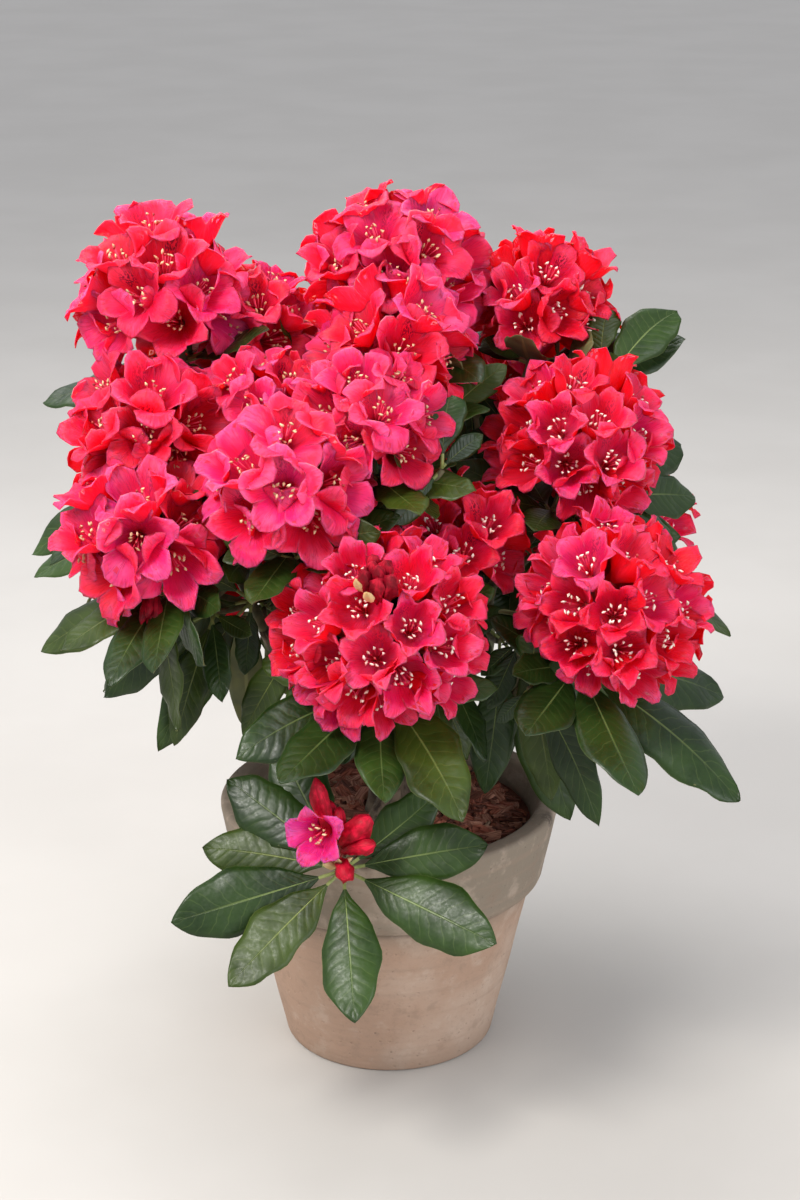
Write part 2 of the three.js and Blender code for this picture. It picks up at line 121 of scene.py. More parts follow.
# These are drawn here alone, for side shoots, leaves, petals, stamens, buds, florets and chips.
KEY_SIDE_BEARING, KEY_SIDE_LENGTH, KEY_SIDE_LEAF = 51, 52, 53
(KEY_MARGIN, KEY_FOLD, KEY_DISH, KEY_RIPPLE, KEY_RIPPLE_SIZE, KEY_TWIST, KEY_SWEEP, KEY_LEAF_TONE,
 KEY_WAVINESS) = range(61, 70)
KEY_LOBE_PLAY, KEY_LOBE_TILT, KEY_LOBE_PHASE, KEY_LOBE_CURL = 71, 72, 73, 79
KEY_STAMEN_BEARING, KEY_STAMEN_SPREAD, KEY_STAMEN_TIP, KEY_ANTHER_ACROSS, KEY_ANTHER_OVER = range(74, 79)
KEY_BUD_BEND, KEY_BUD_FURL, KEY_SCALE_TURN, KEY_BUD_LENGTH, KEY_BUD_WIDTH = range(81, 86)
KEY_OPENNESS, KEY_PETAL_TONE, KEY_FLORET_SIZE, KEY_ANTHER_LENGTH, KEY_MOUTH = 86, 87, 88, 89, 93
KEYS_NOD = (90, 91, 92)
KEY_CHIP_TAPER = 90
KEYS_CHIP_CORNER = (91, 92, 93)
(KEY_CHIP_LENGTH, KEY_CHIP_WIDTH, KEY_CHIP_THICKNESS, KEY_CHIP_PALE, KEY_CHIP_HEIGHT, KEY_CHIP_TURN,
 KEY_CHIP_TILT, KEY_CHIP_ROLL, KEY_CHIP_TONE) = range(101, 110)

# What this script carries further than the solids: more and smaller florets, and small leaves
# where a large one has no room.
FLORETS_PER_MM = 0.3
FLORET_SIZE = 57
FLORET_NOD = 0.5
LEAF_FITS = [(1, 1), (1, 0.35), (0.85, 0.7), (0.85, 0.15), (0.7, 0.4), (0.7, -0.1), (0.56, 0.2),
             (0.44, 0)]
FLORET_FITS = [1, 0.92, 0.84, 0.76]
PETAL_MARGIN = -12

# Each mass and its shoots: the centre and radius of each truss, and where a whorl isn't even, the
# bearings of its leaves. open is how far the florets have opened, from cups to flat stars, and
# floret is their size where it isn't the usual one. tone is their set of petal colours: the pinker
# rose of the trusses on the upper left is partly painted sunlight, and the deeper crimson of the
# others partly painted shade.
MASSES = {
    "upper_left": [
        dict(at=(-178, 30, 627), radius=66, leaves=(20, 70, 125, 172, 205, 262, 330), open=0.6, tone="rose"),
        dict(at=(-106, 50, 599), radius=47, open=0.6, tone="rose"),
    ],
    "left": [
        dict(at=(-182, -42, 541), radius=57, open=0.6, tone="rose",
             leaves=(60, 140, 178, 212, 250, 290, 345)),
        dict(at=(-186, -100, 473), radius=60, reach=0.86, open=0.65, tone="rose",
             leaves=(15, 60, 105, 176, 206, 240, 272, 312)),
    ],
    "front_left": [
        dict(at=(-75, -130, 522), radius=59, open=0.7, tone="rose"),
        dict(at=(-13, -80, 553), radius=52, open=0.7, tone="rose"),
    ],
    "top": [
        dict(at=(5, 60, 637), radius=67, open=0.55, tone="rose"),
        dict(at=(5, -10, 593), radius=58, open=0.6, tone="rose"),
    ],
    "upper_right": [
        dict(at=(125, 80, 608), radius=55, droop=-0.22, turn=2.4, open=0.35, floret=47,
             leaves=(5, 32, 90, 150, 215, 262, 330)),
    ],
    "right": [
        dict(at=(148, -20, 520), radius=68, droop=0.1, turn=1.8, open=0.2, floret=48,
             leaves=(-12, 16, 50, 110, 165, 205, 250, 318)),
    ],
    "lower_right": [
        dict(at=(170, -120, 421), radius=71, reach=1.12, leaves=(20, 60, 120, 170, 214, 246, 280, 336),
             open=0.1, floret=47),
    ],
    "front": [
        dict(at=(-6, -170, 424), radius=77, leaves=(2, 28, 70, 112, 153, 203, 234, 268, 300), open=0.1,
             floret=46, budded=True),
        dict(at=(59, -60, 460), radius=46, open=0.6, floret=50),
    ],
    "low_front": [
        dict(at=(-38, -196, 250), radius=34, florets=0, droop=0.06, reach=1.06, open=1,
             leaves=(7, 33, 118, 140, 165, 198, 226, 276, 330)),
    ],
    "back_upper_left": [
        dict(at=(-125, 150, 560), radius=58, open=0.6, tone="rose"),
        dict(at=(-205, 85, 470), radius=50, open=0.7),
    ],
    "back_upper_right": [
        dict(at=(112, 185, 530), radius=56, open=0.7),
        dict(at=(195, 118, 425), radius=55, open=0.5),
    ],
    "back_top": [
        dict(at=(10, 170, 575), radius=58, open=0.6, tone="rose"),
        dict(at=(5, 225, 470), radius=56, open=0.6),
    ],
    "back_left": [
        dict(at=(-120, 205, 450), radius=56, open=0.6),
        dict(at=(-160, 150, 352), radius=50, open=0.5),
    ],
    "back_right": [
        dict(at=(120, 215, 430), radius=56, open=0.6),
        dict(at=(155, 160, 330), radius=52, open=0.5),
    ],
    "low_back": [
        dict(at=(-5, 215, 335), radius=52, open=0.5),
    ],
    "inner_left": [
        dict(at=(-93, -44, 557), radius=42, open=0.6, tone="rose"),
    ],
}


def chance(*keys):
    """A repeatable number from 0 to 1 for each set of keys."""
    state = 2166136261
    for key in keys:
        state = ((state ^ (int(key) & 0xFFFFFFFF)) * 2654435761) & 0xFFFFFFFF
        state ^= state >> 15
        state = (state * 2246822519) & 0xFFFFFFFF
        state ^= state >> 13
    return state / 4294967296


def vary(share, *keys):
    """A factor that strays from 1 by up to half of share either way."""
    return 1 + share * (chance(*keys) - 0.5)


def unit(v):
    v = np.asarray(v, float)
    return v / np.linalg.norm(v)


def smooth(low, high, x):
    """From 0 to 1 as x goes from low to high."""
    t = np.clip((np.asarray(x, float) - low) / (high - low), 0, 1)
    return t * t * (3 - 2 * t)


# Curves

class Bezier:
    """A quadratic curve that is walked by its length, or a straight line if it has two points."""

    def __init__(self, *corners):
        a, c = np.asarray(corners[0], float), np.asarray(corners[-1], float)
        self.corners = a, np.asarray(corners[1], float) if len(corners) == 3 else (a + c) / 2, c
        self.steps = np.linspace(0, 1, 201)
        lengths = np.linalg.norm(np.diff(self.point(self.steps), axis=0), axis=1)
        self.lengths = np.concatenate([[0], np.cumsum(lengths)]) / lengths.sum()
        self.length = lengths.sum()

    def point(self, t):
        t = np.asarray(t, float)[..., None]
        a, b, c = self.corners
        return (1 - t) ** 2 * a + 2 * t * (1 - t) * b + t ** 2 * c

    def tangent(self, t):
        t = np.asarray(t, float)[..., None]
        a, b, c = self.corners
        d = 2 * (1 - t) * (b - a) + 2 * t * (c - b)
        return d / np.linalg.norm(d, axis=-1, keepdims=True)

    def even(self, share):
        """The curve's own number at a share of its length."""
        return np.interp(share, self.lengths, self.steps)


# The shoots and the space of each mass, by the same rule as the solids

shoots = []
for mass_index, given_shoots in enumerate(MASSES.values()):
    for given in given_shoots:
        centre = np.array(given["at"], float)
        axis = unit(centre - SHOOT_SOURCE)
        across = unit(np.array([1, 0, 0]) - axis * axis[0])
        radius = given["radius"]
        floret = given.get("floret", FLORET_SIZE)
        shoots.append(dict(
            index=len(shoots), mass=mass_index, centre=centre, axis=axis, across=across,
            over=np.cross(axis, across), radius=radius,
            whorl=centre - axis * WHORL_DEPTH * radius,
            heart=centre - axis * HEART_DEPTH * radius,
            site=centre - axis * SITE_DEPTH * radius,
            leaves=given.get("leaves"), droop=given.get("droop", LEAF_DROOP), reach=given.get("reach", 1),
            turn=given.get("turn", 1), floret=floret,
            florets=given.get("florets", round(radius * FLORETS_PER_MM * max(1, radius / floret))),
            open=given["open"], tone=given.get("tone", "crimson"), budded=given.get("budded", False)))

SITES = np.array([shoot["site"] for shoot in shoots])
RADII = np.array([shoot["radius"] for shoot in shoots], float)
OWNERS = np.array([shoot["mass"] for shoot in shoots])


def shoots_of(mass_index):
    return [shoot for shoot in shoots if shoot["mass"] == mass_index]


def around(shoot, angle):
    return shoot["across"] * math.cos(angle) + shoot["over"] * math.sin(angle)


def in_space(spots, mass_index, margin):
    """True where every spot is nearer to its own mass than to any other."""
    power = ((spots[:, None] - SITES[None]) ** 2).sum(2) - RADII ** 2
    own = np.flatnonzero(OWNERS == mass_index)
    others = np.flatnonzero(OWNERS != mass_index)
    best = own[power[:, own].argmin(1)]
    apart = np.linalg.norm(SITES[best][:, None] - SITES[others][None], axis=2)
    lead = power[:, others] - power[np.arange(len(spots)), best][:, None]
    return bool((lead > 2 * margin * apart).all())


goals = [np.mean([shoot["whorl"] for shoot in shoots_of(m)], axis=0) for m in range(len(MASSES))]


def bough_curve(goal):
    """A bough leaves the stem the higher, the higher its goal lies, and bows outwards."""
    upright = math.hypot(goal[0], goal[1]) < UPRIGHT_REACH
    rank = sum(other[2] < goal[2] for other in goals) / (len(goals) - 1)
    root = np.array([0, 0, STEM_TOP if upright else BOUGH_LOW + (BOUGH_HIGH - BOUGH_LOW) * rank])
    tip = root + (goal - root) * BOUGH_SHARE
    outward = unit([goal[0], goal[1], 0])
    elbow = root + (tip - root) * BOUGH_ELBOW + outward * (0 if upright else BOUGH_BOW)
    return Bezier(root, elbow, tip)


boughs = [bough_curve(goal) for goal in goals]


def twig_curves(bough, mass_index):
    """The stem of a mass, straight on from its bough, and a twig from there to each whorl."""
    tip = bough.point(1.0)
    aim = bough.tangent(1.0)
    fork = tip + aim * TWIG_STEM
    start = fork - aim * TWIG_STEM_RADIUS
    twigs = []
    for shoot in shoots_of(mass_index):
        sway = around(shoot, 2 * math.pi * chance(shoot["index"], KEY_SWAY)) * TWIG_SWAY
        twigs.append(Bezier(start, (fork + shoot["whorl"]) / 2 + sway, shoot["whorl"]))
    return Bezier(tip, fork), twigs


growths = [twig_curves(bough, m) for m, bough in enumerate(boughs)]


def spots_along(curve, radius, mass_index):
    t = curve.even(np.linspace(0, 1, LIMB_SPOTS + 1))
    return [(p, radius + LIMB_MARGIN, mass_index) for p in curve.point(t)]


limb_list = [spot for bough in boughs for spot in spots_along(bough, BOUGH_RADIUS, NO_MASS)]
for m, (stem, twigs) in enumerate(growths):
    for curve in [stem, *twigs]:
        limb_list += spots_along(curve, BOUGH_TIP_RADIUS, m)
LIMB_PLACES = np.array([spot[0] for spot in limb_list])
LIMB_REACHES = np.array([spot[1] for spot in limb_list])
LIMB_OWNERS = np.array([spot[2] for spot in limb_list])


def pot_radius(z):
    foot = POT_HEIGHT - POT_BAND_HEIGHT
    body = POT_FOOT_RADIUS + (POT_BODY_TOP_RADIUS - POT_FOOT_RADIUS) * z / foot
    band = POT_BAND_FOOT_RADIUS + (POT_RIM_RADIUS - POT_BAND_FOOT_RADIUS) * (z - foot) / POT_BAND_HEIGHT
    return np.where(z < foot, body, band)


def inner_radius(z):
    share = (z - POT_FLOOR) / (POT_HEIGHT - POT_FLOOR)
    return POT_INNER_FOOT_RADIUS + (POT_MOUTH_RADIUS - POT_INNER_FOOT_RADIUS) * share


def touches_limb(spots, mass_index):
    beside = np.hypot(spots[:, 0], spots[:, 1])
    z = spots[:, 2]
    in_pot = (z < POT_HEIGHT + LIMB_MARGIN) & (beside < pot_radius(z) + LIMB_MARGIN)
    in_stem = (z < STEM_TOP + LIMB_MARGIN) & (beside < STEM_FOOT_RADIUS + LIMB_MARGIN)
    foreign = LIMB_OWNERS != mass_index
    apart = np.linalg.norm(spots[:, None] - LIMB_PLACES[foreign][None], axis=2)
    return bool(in_pot.any() or in_stem.any() or (apart < LIMB_REACHES[foreign]).any())


def spots_on(corners, faces):
    """Spots spread over the faces of a coarse shape."""
    a, b, c = (corners[[face[i] for face in faces]] for i in range(3))
    spots = [a, (a + b + c) / 3]
    for share in (0.25, 0.5, 0.75):
        spots += [a + (b - a) * share, b + (c - b) * share, c + (a - c) * share]
    return np.concatenate(spots)


def fits_in(corners, faces, mass_index, margin):
    spots = spots_on(corners, faces)
    return in_space(spots, mass_index, margin) and not touches_limb(spots, mass_index)


# Leaves and florets: where they stand

def bearings_of(shoot):
    if shoot["leaves"]:
        return shoot["leaves"]
    step = 360 / LEAF_COUNT
    first = 360 * chance(shoot["index"], KEY_TURN)
    return [first + step * (i + WHORL_PLAY * (chance(shoot["index"], i, KEY_BEARING) - 0.5))
            for i in range(LEAF_COUNT)]


def midrib(shoot, number, bearing, size, flex):
    outward = around(shoot, math.radians(bearing))
    aim = unit(outward + shoot["axis"] * LEAF_SPREAD)
    length = LEAF_LENGTH * shoot["reach"] * size * vary(LENGTH_PLAY, shoot["index"], number, KEY_LENGTH)
    droop = flex * shoot["droop"] * length * vary(DROOP_PLAY, shoot["index"], number, KEY_DROOP)
    root = shoot["whorl"] + outward * ROOT_DEPTH + shoot["axis"] * WHORL_HEIGHT * (
        chance(shoot["index"], number, KEY_HEIGHT) - 0.5)
    tip = root + aim * LEAF_STRETCH * length - np.array([0, 0, droop])
    return Bezier(root, root + aim * 0.5 * length, tip), aim, length


def leaf_side(shoot, aim):
    """The direction across a leaf, whose face is turned some way to the light."""
    return unit(np.cross(shoot["axis"] + LIGHT * LEAF_TURN * shoot["turn"], aim))


def leaf_outline(shoot, curve, aim, length):
    """The coarse leaf of the solids, to try whether there is room for it."""
    side = leaf_side(shoot, aim)
    corners = []
    for station, fullness in zip(LEAF_STATIONS, LEAF_FULLNESS):
        place = curve.point(station)
        half = 0.5 * LEAF_WIDTH * length * fullness
        upper = unit(np.cross(curve.tangent(station), side))
        for x, z in ((-1, 0), (0, 1), (1, 0), (0, -1), (-1, 0)):
            lift = (z * 0.5 * LEAF_THICKNESS + abs(x) * half * LEAF_FOLD) if half else 0
            corners.append(place + side * x * half + upper * lift)
    faces = []
    for row in range(3):
        for i in range(4):
            a, b, c, d = row * 5 + i + 1, row * 5 + i, (row + 1) * 5 + i, (row + 1) * 5 + i + 1
            faces += [(a, b, d)] * (row > 0) + [(b, c, d)] * (row < 2)
    return np.array(corners), faces


def floret_place(shoot, number, size_share):
    size = shoot["radius"] * size_share
    floret = min(shoot["floret"], size)
    fall = FLORET_SPREAD * math.sqrt((number + 0.5) / shoot["florets"])
    turn = number * GOLDEN_ANGLE + 2 * math.pi * chance(shoot["index"], KEY_TURN)
    outward = around(shoot, turn) * math.sin(fall) + shoot["axis"] * math.cos(fall)
    mouth = shoot["centre"] + outward * FLORET_REACH * size
    crown = shoot["axis"] * STALK_SPREAD * SHAFT_CROWN * math.cos(fall)
    return dict(root=shoot["heart"] + outward * ROOT_DEPTH + crown, mouth=mouth,
                aim=unit(mouth - shoot["heart"]), size=floret)


def ring_around(aim):
    across = unit(np.cross([0, 0, 1], aim))
    return across, np.cross(aim, across)


def floret_outline(place, turn):
    """The coarse floret of the solids, to try whether there is room for it."""
    across, over = ring_around(place["aim"])
    rim = []
    for i in range(2 * FLORET_LOBES):
        radius = FLORET_RIM * place["size"] * (FLORET_NOTCH if i % 2 else 1)
        angle = turn + i / (2 * FLORET_LOBES) * 2 * math.pi
        rim.append(place["mouth"] + across * radius * math.cos(angle) + over * radius * math.sin(angle))
    base = place["mouth"] - place["aim"] * FLORET_DEPTH * place["size"]
    corners = np.array([place["root"], base, *rim])
    faces = [(1, 2 + (i + 1) % len(rim), 2 + i) for i in range(len(rim))] + [(0, 1, 1)]
    return corners, faces


# Joined meshes

class Form:
    """The plan of a closed tube: for each corner its angle and its share along, and the faces."""

    def __init__(self, sides, steps, closed=True):
        bm = bmesh.new()
        bmesh.ops.create_cone(bm, cap_ends=closed, cap_tris=False, segments=sides, radius1=1, radius2=1,
                              depth=1)
        for i in range(1, steps):
            bmesh.ops.bisect_plane(bm, geom=bm.verts[:] + bm.edges[:] + bm.faces[:],
                                   plane_co=(0, 0, i / steps - 0.5), plane_no=(0, 0, 1))
        bmesh.ops.recalc_face_normals(bm, faces=bm.faces)
        bm.verts.index_update()
        self.angle = np.array([math.atan2(v.co.y, v.co.x) % (2 * math.pi) for v in bm.verts])
        self.along = np.array([v.co.z + 0.5 for v in bm.verts])
        self.faces = [[v.index for v in face.verts] for face in bm.faces]
        self.corners = np.concatenate(self.faces)
        self.sizes = np.array([len(face) for face in self.faces])
        turns = self.angle[self.corners] / (2 * math.pi)
        starts = np.concatenate([[0], np.cumsum(self.sizes)[:-1]])
        wraps = np.maximum.reduceat(turns, starts) - np.minimum.reduceat(turns, starts) > 0.5
        self.turns = turns + (np.repeat(wraps, self.sizes) & (turns < 0.5))
        self.middle_along = np.add.reduceat(self.along[self.corners], starts) / self.sizes
        self.middle_turn = np.add.reduceat(self.turns, starts) / self.sizes % 1
        bm.free()


class Heap:
    """Many small things of one kind, joined into one mesh."""

    def __init__(self, name, finishes):
        self.name = name
        self.finishes = finishes
        self.places, self.corners, self.sizes, self.patterns, self.slots = [], [], [], [], []
        self.count = 0

    def add(self, form, places, pattern, slots):
        self.places.append(places)
        self.corners.append(form.corners + self.count)
        self.sizes.append(form.sizes)
        self.patterns.append(pattern)
        self.slots.append(np.broadcast_to(slots, len(form.sizes)))
        self.count += len(places)

    def finish(self, smooth_faces=True):
        mesh = bpy.data.meshes.new(self.name)
        places = np.concatenate(self.places) * MM
        corners = np.concatenate(self.corners)
        sizes = np.concatenate(self.sizes)
        mesh.vertices.add(len(places))
        mesh.vertices.foreach_set("co", places.ravel())
        mesh.loops.add(len(corners))
        mesh.loops.foreach_set("vertex_index", corners)
        mesh.polygons.add(len(sizes))
        mesh.polygons.foreach_set("loop_start", np.concatenate([[0], np.cumsum(sizes)[:-1]]))
        mesh.polygons.foreach_set("material_index", np.concatenate(self.slots))
        mesh.polygons.foreach_set("use_smooth", np.full(len(sizes), smooth_faces))
        layer = mesh.uv_layers.new(name="pattern")
        layer.data.foreach_set("uv", np.concatenate(self.patterns).ravel())
        mesh.update(calc_edges=True)
        mesh.validate()
        piece = bpy.data.objects.new(self.name, mesh)
        bpy.context.scene.collection.objects.link(piece)
        for finish in self.finishes:
            mesh.materials.append(finish)
        return piece


def frames_along(tangents):
    """Two directions square to each tangent that turn as little as they can."""
    first = np.cross(tangents[0], [0.3, 0.2, 1])
    normals = [unit(first)]
    for tangent in tangents[1:]:
        normals.append(unit(normals[-1] - tangent * (normals[-1] @ tangent)))
    normals = np.array(normals)
    return normals, np.cross(tangents, normals)


def sweep(form, curve, radius_at, bulge=None):
    """A form's corners as a round limb along a curve."""
    levels, level_of = np.unique(form.along.round(5), return_inverse=True)
    t = curve.even(levels)
    points = curve.point(t)
    normals, binormals = frames_along(curve.tangent(t))
    radius = radius_at(form.along)
    if bulge is not None:
        radius = radius * bulge
    return (points[level_of] + normals[level_of] * (radius * np.cos(form.angle))[:, None]
            + binormals[level_of] * (radius * np.sin(form.angle))[:, None])


def add_tube(heap, form, curve, radius_at, slot, bulge=None):
    places = sweep(form, curve, radius_at, bulge)
    pattern = np.stack([form.turns, form.along[form.corners] * curve.length * MM], axis=1)
    heap.add(form, places, pattern, slot)


def taper(start, end):
    return lambda along: start + (end - start) * along


# Finishes

class Finish:
    """A material that is built up from nodes."""

    def __init__(self, name, **settings):
        self.material = bpy.data.materials.new(name)
        self.material.use_nodes = True
        self.tree = self.material.node_tree
        self.shader = self.tree.nodes["Principled BSDF"]
        for socket, value in settings.items():
            self.shader.inputs[socket.replace("_", " ")].default_value = value
        self.places = self.node("ShaderNodeTexCoord")

    def node(self, kind, **settings):
        made = self.tree.nodes.new(kind)
        for name, value in settings.items():
            setattr(made, name, value)
        return made

    def wire(self, value, socket):
        if isinstance(value, bpy.types.NodeSocket):
            self.tree.links.new(value, socket)
        else:
            socket.default_value = value

    def math(self, operation, a, b=0.0, c=0.0):
        made = self.node("ShaderNodeMath", operation=operation)
        for value, socket in zip((a, b, c), made.inputs):
            self.wire(value, socket)
        return made.outputs[0]

    def between(self, value, low, high, start=0.0, end=1.0):
        """value from low to high becomes start to end, smoothly, and stays there outside."""
        made = self.node("ShaderNodeMapRange", interpolation_type="SMOOTHSTEP")
        for v, socket in zip((value, low, high, start, end), made.inputs):
            self.wire(v, socket)
        return made.outputs[0]

    def mix(self, share, a, b):
        made = self.node("ShaderNodeMix", data_type="RGBA")
        colours = [s for s in made.inputs if s.type == "RGBA"]
        self.wire(share, made.inputs[0])
        self.wire(a, colours[0])
        self.wire(b, colours[1])
        return next(s for s in made.outputs if s.type == "RGBA")

    def stretched(self, source, scale, turn=(0, 0, 0)):
        made = self.node("ShaderNodeMapping")
        made.inputs["Scale"].default_value = scale
        made.inputs["Rotation"].default_value = turn
        self.wire(source, made.inputs["Vector"])
        return made.outputs[0]

    def noise(self, scale, detail=3.0, rough=0.55, source=None):
        made = self.node("ShaderNodeTexNoise")
        self.wire(source or self.places.outputs["Object"], made.inputs["Vector"])
        made.inputs["Scale"].default_value = scale
        made.inputs["Detail"].default_value = detail
        made.inputs["Roughness"].default_value = rough
        return made.outputs[0]

    def cells(self, scale, source=None):
        made = self.node("ShaderNodeTexVoronoi")
        self.wire(source or self.places.outputs["Object"], made.inputs["Vector"])
        made.inputs["Scale"].default_value = scale
        return made.outputs["Distance"]

    def parts(self, source):
        made = self.node("ShaderNodeSeparateXYZ")
        self.wire(source, made.inputs[0])
        return made.outputs

    def relief(self, height, depth, strength=1.0):
        made = self.node("ShaderNodeBump")
        made.inputs["Strength"].default_value = strength
        made.inputs["Distance"].default_value = depth * MM
        self.wire(height, made.inputs["Height"])
        self.tree.links.new(made.outputs[0], self.shader.inputs["Normal"])

    def beside_middle(self, u):
        """0 in the middle of a strip that u crosses, and 1 at both its sides."""
        return self.math("ABSOLUTE", self.math("SUBTRACT", self.math("MULTIPLY", u, 2.0), 1.0))

    def colour(self, value):
        self.wire(value, self.shader.inputs["Base Color"])

    def roughness(self, pattern, low, high):
        """The pattern's darker spots get the first roughness, and its lighter ones the second."""
        self.wire(self.between(pattern, 0.3, 0.7, low, high), self.shader.inputs["Roughness"])


# Petals let some light through. Fine streaks run along them, and drifts of tone across them.
PETAL_LOOK = dict(Specular_IOR_Level=0.16, Subsurface_Weight=0.7, Subsurface_Scale=8 * MM)
PETAL_STREAKS = (150, 4, 1)
PETAL_SPOTS = (120, 22, 1)
SPOT_COLOUR = (0.07, 0.0, 0.016, 1)
VEIN_SHADE = 0.62


def petal_finish(name, main, throat, light, cool, blotch=0.4):
    """Satin petals with fine darker veins. Towards the base they take the throat colour: painted shade
    where it is darker than the main one, painted light where it is paler. Down the middle and at the
    margin of each lobe they are paler with a painted highlight. The first lobe has a speckled blotch."""
    f = Finish(name, **PETAL_LOOK)
    u, v, _ = f.parts(f.places.outputs["UV"])
    lobe = f.math("FRACT", f.math("MULTIPLY", u, float(FLORET_LOBES)))
    beside = f.math("ABSOLUTE", f.math("SUBTRACT", lobe, 0.5))
    cloud = f.noise(38, 3)
    drift = f.noise(17, 1)
    streak = f.noise(1, 2, source=f.stretched(f.places.outputs["UV"], PETAL_STREAKS))
    dark = tuple(VEIN_SHADE * c for c in main[:3]) + (1,)
    colour = f.mix(f.between(drift, 0.42, 0.62), main, cool)
    # Towards the base the throat colour: painted shade where it is darker than the main one, painted light
    # where it is paler.
    colour = f.mix(f.between(v, 0.6, 0.2, 0, 0.8), colour, throat)
    # A painted highlight in the light colour down the middle of each lobe, and at its margin.
    middle = f.math("MULTIPLY", f.between(beside, 0.3, 0.0), f.between(v, 0.4, 0.7))
    paler = f.math("MULTIPLY", middle, f.between(cloud, 0.35, 0.7, 0, 0.6))
    colour = f.mix(f.math("MAXIMUM", paler, f.between(v, 0.8, 1.0, 0, 0.45)), colour, light)
    colour = f.mix(f.between(streak, 0.5, 0.68, 0, 0.5), colour, dark)
    first = f.math("LESS_THAN", f.math("FRACT", u), 1 / FLORET_LOBES)
    spots = f.cells(1, source=f.stretched(f.places.outputs["UV"], PETAL_SPOTS))
    along = f.math("MULTIPLY", f.between(v, 0.36, 0.46), f.between(v, 0.8, 0.6))
    patch = f.math("MULTIPLY", f.between(beside, 0.3, 0.16), along)
    speckle = f.math("MULTIPLY", f.math("MULTIPLY", patch, first), f.between(spots, 0.6, 0.4))
    f.colour(f.mix(f.math("MULTIPLY", speckle, blotch), colour, SPOT_COLOUR))
    f.roughness(cloud, 0.4, 0.58)
    f.relief(f.math("ADD", streak, f.math("MULTIPLY", cloud, 0.8)), 1.0, 0.8)
    return f.material


def petal_back_finish(name, main, light):
    """The outer side of the petals, of a purer red, with its veins raised, and paler towards the rim with
    a painted highlight.
    """
    f = Finish(name, **PETAL_LOOK)
    v = f.parts(f.places.outputs["UV"])[1]
    cloud = f.noise(38, 3)
    streak = f.noise(1, 2, source=f.stretched(f.places.outputs["UV"], PETAL_STREAKS))
    colour = f.mix(f.between(cloud, 0.42, 0.66, 0, 0.5), main, light)
    # A painted highlight towards the rim.
    colour = f.mix(f.between(v, 0.86, 1.0, 0, 0.5), colour, light)
    f.colour(f.mix(f.between(streak, 0.5, 0.7, 0, 0.5), colour, light))
    f.roughness(cloud, 0.42, 0.6)
    f.relief(streak, 0.8, 0.8)
    return f.material


# A leaf's side veins: how many there are, how far they slant forward, and how much they stray.
SIDE_VEINS = 13.0
VEIN_SLANT = 1.7
VEIN_PLAY = 1.1
GLOSS_SPAN = 0.16


def leaf_finish(name, dark, mid, rib, gloss):
    """The satin upper side of a leaf: a pale midrib, faint side veins and a little quilting."""
    f = Finish(name, Specular_IOR_Level=0.33)
    u, v, _ = f.parts(f.places.outputs["UV"])
    beside = f.beside_middle(u)
    cloud = f.noise(26, 3)
    fine = f.noise(420, 3)
    wave = f.math("SUBTRACT", f.math("MULTIPLY", v, SIDE_VEINS), f.math("MULTIPLY", beside, VEIN_SLANT))
    wave = f.math("ADD", wave, f.math("MULTIPLY", f.noise(60, 2), VEIN_PLAY))
    ripple = f.math("ABSOLUTE", f.math("SUBTRACT", f.math("FRACT", wave), 0.5))
    vein = f.math("MULTIPLY", f.between(ripple, 0.07, 0.0), f.between(beside, 0.95, 0.6))
    main_rib = f.between(beside, 0.042, 0.016)
    colour = f.mix(f.between(cloud, 0.35, 0.65), dark, mid)
    colour = f.mix(f.between(fine, 0.5, 0.75, 0, 0.35), colour, mid)
    colour = f.mix(f.math("MULTIPLY", vein, 0.12), colour, rib)
    colour = f.mix(f.between(beside, 0.94, 1.0, 0, 0.4), colour, rib)
    colour = f.mix(f.math("MULTIPLY", main_rib, f.between(v, 0.9, 0.2, 0.1, 0.75)), colour, rib)
    f.colour(colour)
    f.roughness(fine, gloss, gloss + GLOSS_SPAN)
    quilt = f.math("MULTIPLY", f.between(ripple, 0.0, 0.4), f.between(beside, 1.0, 0.5))
    height = f.math("ADD", f.math("MULTIPLY", quilt, 0.5), f.math("MULTIPLY", main_rib, -1.0))
    height = f.math("ADD", height, f.math("MULTIPLY", f.noise(75, 2), 2.4))
    f.relief(height, 0.5, 0.6)
    return f.material


def underside_finish(name, base, rib):
    """The dull, paler underside of a leaf, with a broad midrib."""
    f = Finish(name)
    beside = f.beside_middle(f.parts(f.places.outputs["UV"])[0])
    cloud = f.noise(60, 3)
    colour = f.mix(f.between(cloud, 0.3, 0.7, 0, 0.5), base, rib)
    f.colour(f.mix(f.between(beside, 0.12, 0.05), colour, rib))
    f.roughness(cloud, 0.55, 0.75)
    f.relief(cloud, 0.4, 0.4)
    return f.material


def plain_finish(name, a, b, scale, low, high, depth=0.3, **settings):
    """Two colours that a noise of that scale mixes."""
    f = Finish(name, **settings)
    cloud = f.noise(scale, 4)
    f.colour(f.mix(f.between(cloud, 0.3, 0.7), a, b))
    f.roughness(cloud, low, high)
    f.relief(cloud, depth, 0.6)
    return f.material


def bud_finish(name, dark, light):
    """A furled bud: the edges of its rolled petals show as darker lines along it."""
    f = Finish(name, Specular_IOR_Level=0.2)
    cloud = f.noise(120, 3)
    streak = f.noise(1, 3, source=f.stretched(f.places.outputs["UV"], (11, 60, 1)))
    colour = f.mix(f.between(cloud, 0.35, 0.65), dark, light)
    f.colour(f.mix(f.between(streak, 0.46, 0.6, 0, 0.7), colour, dark))
    f.roughness(cloud, 0.42, 0.62)
    f.relief(streak, 1.4, 0.9)
    return f.material


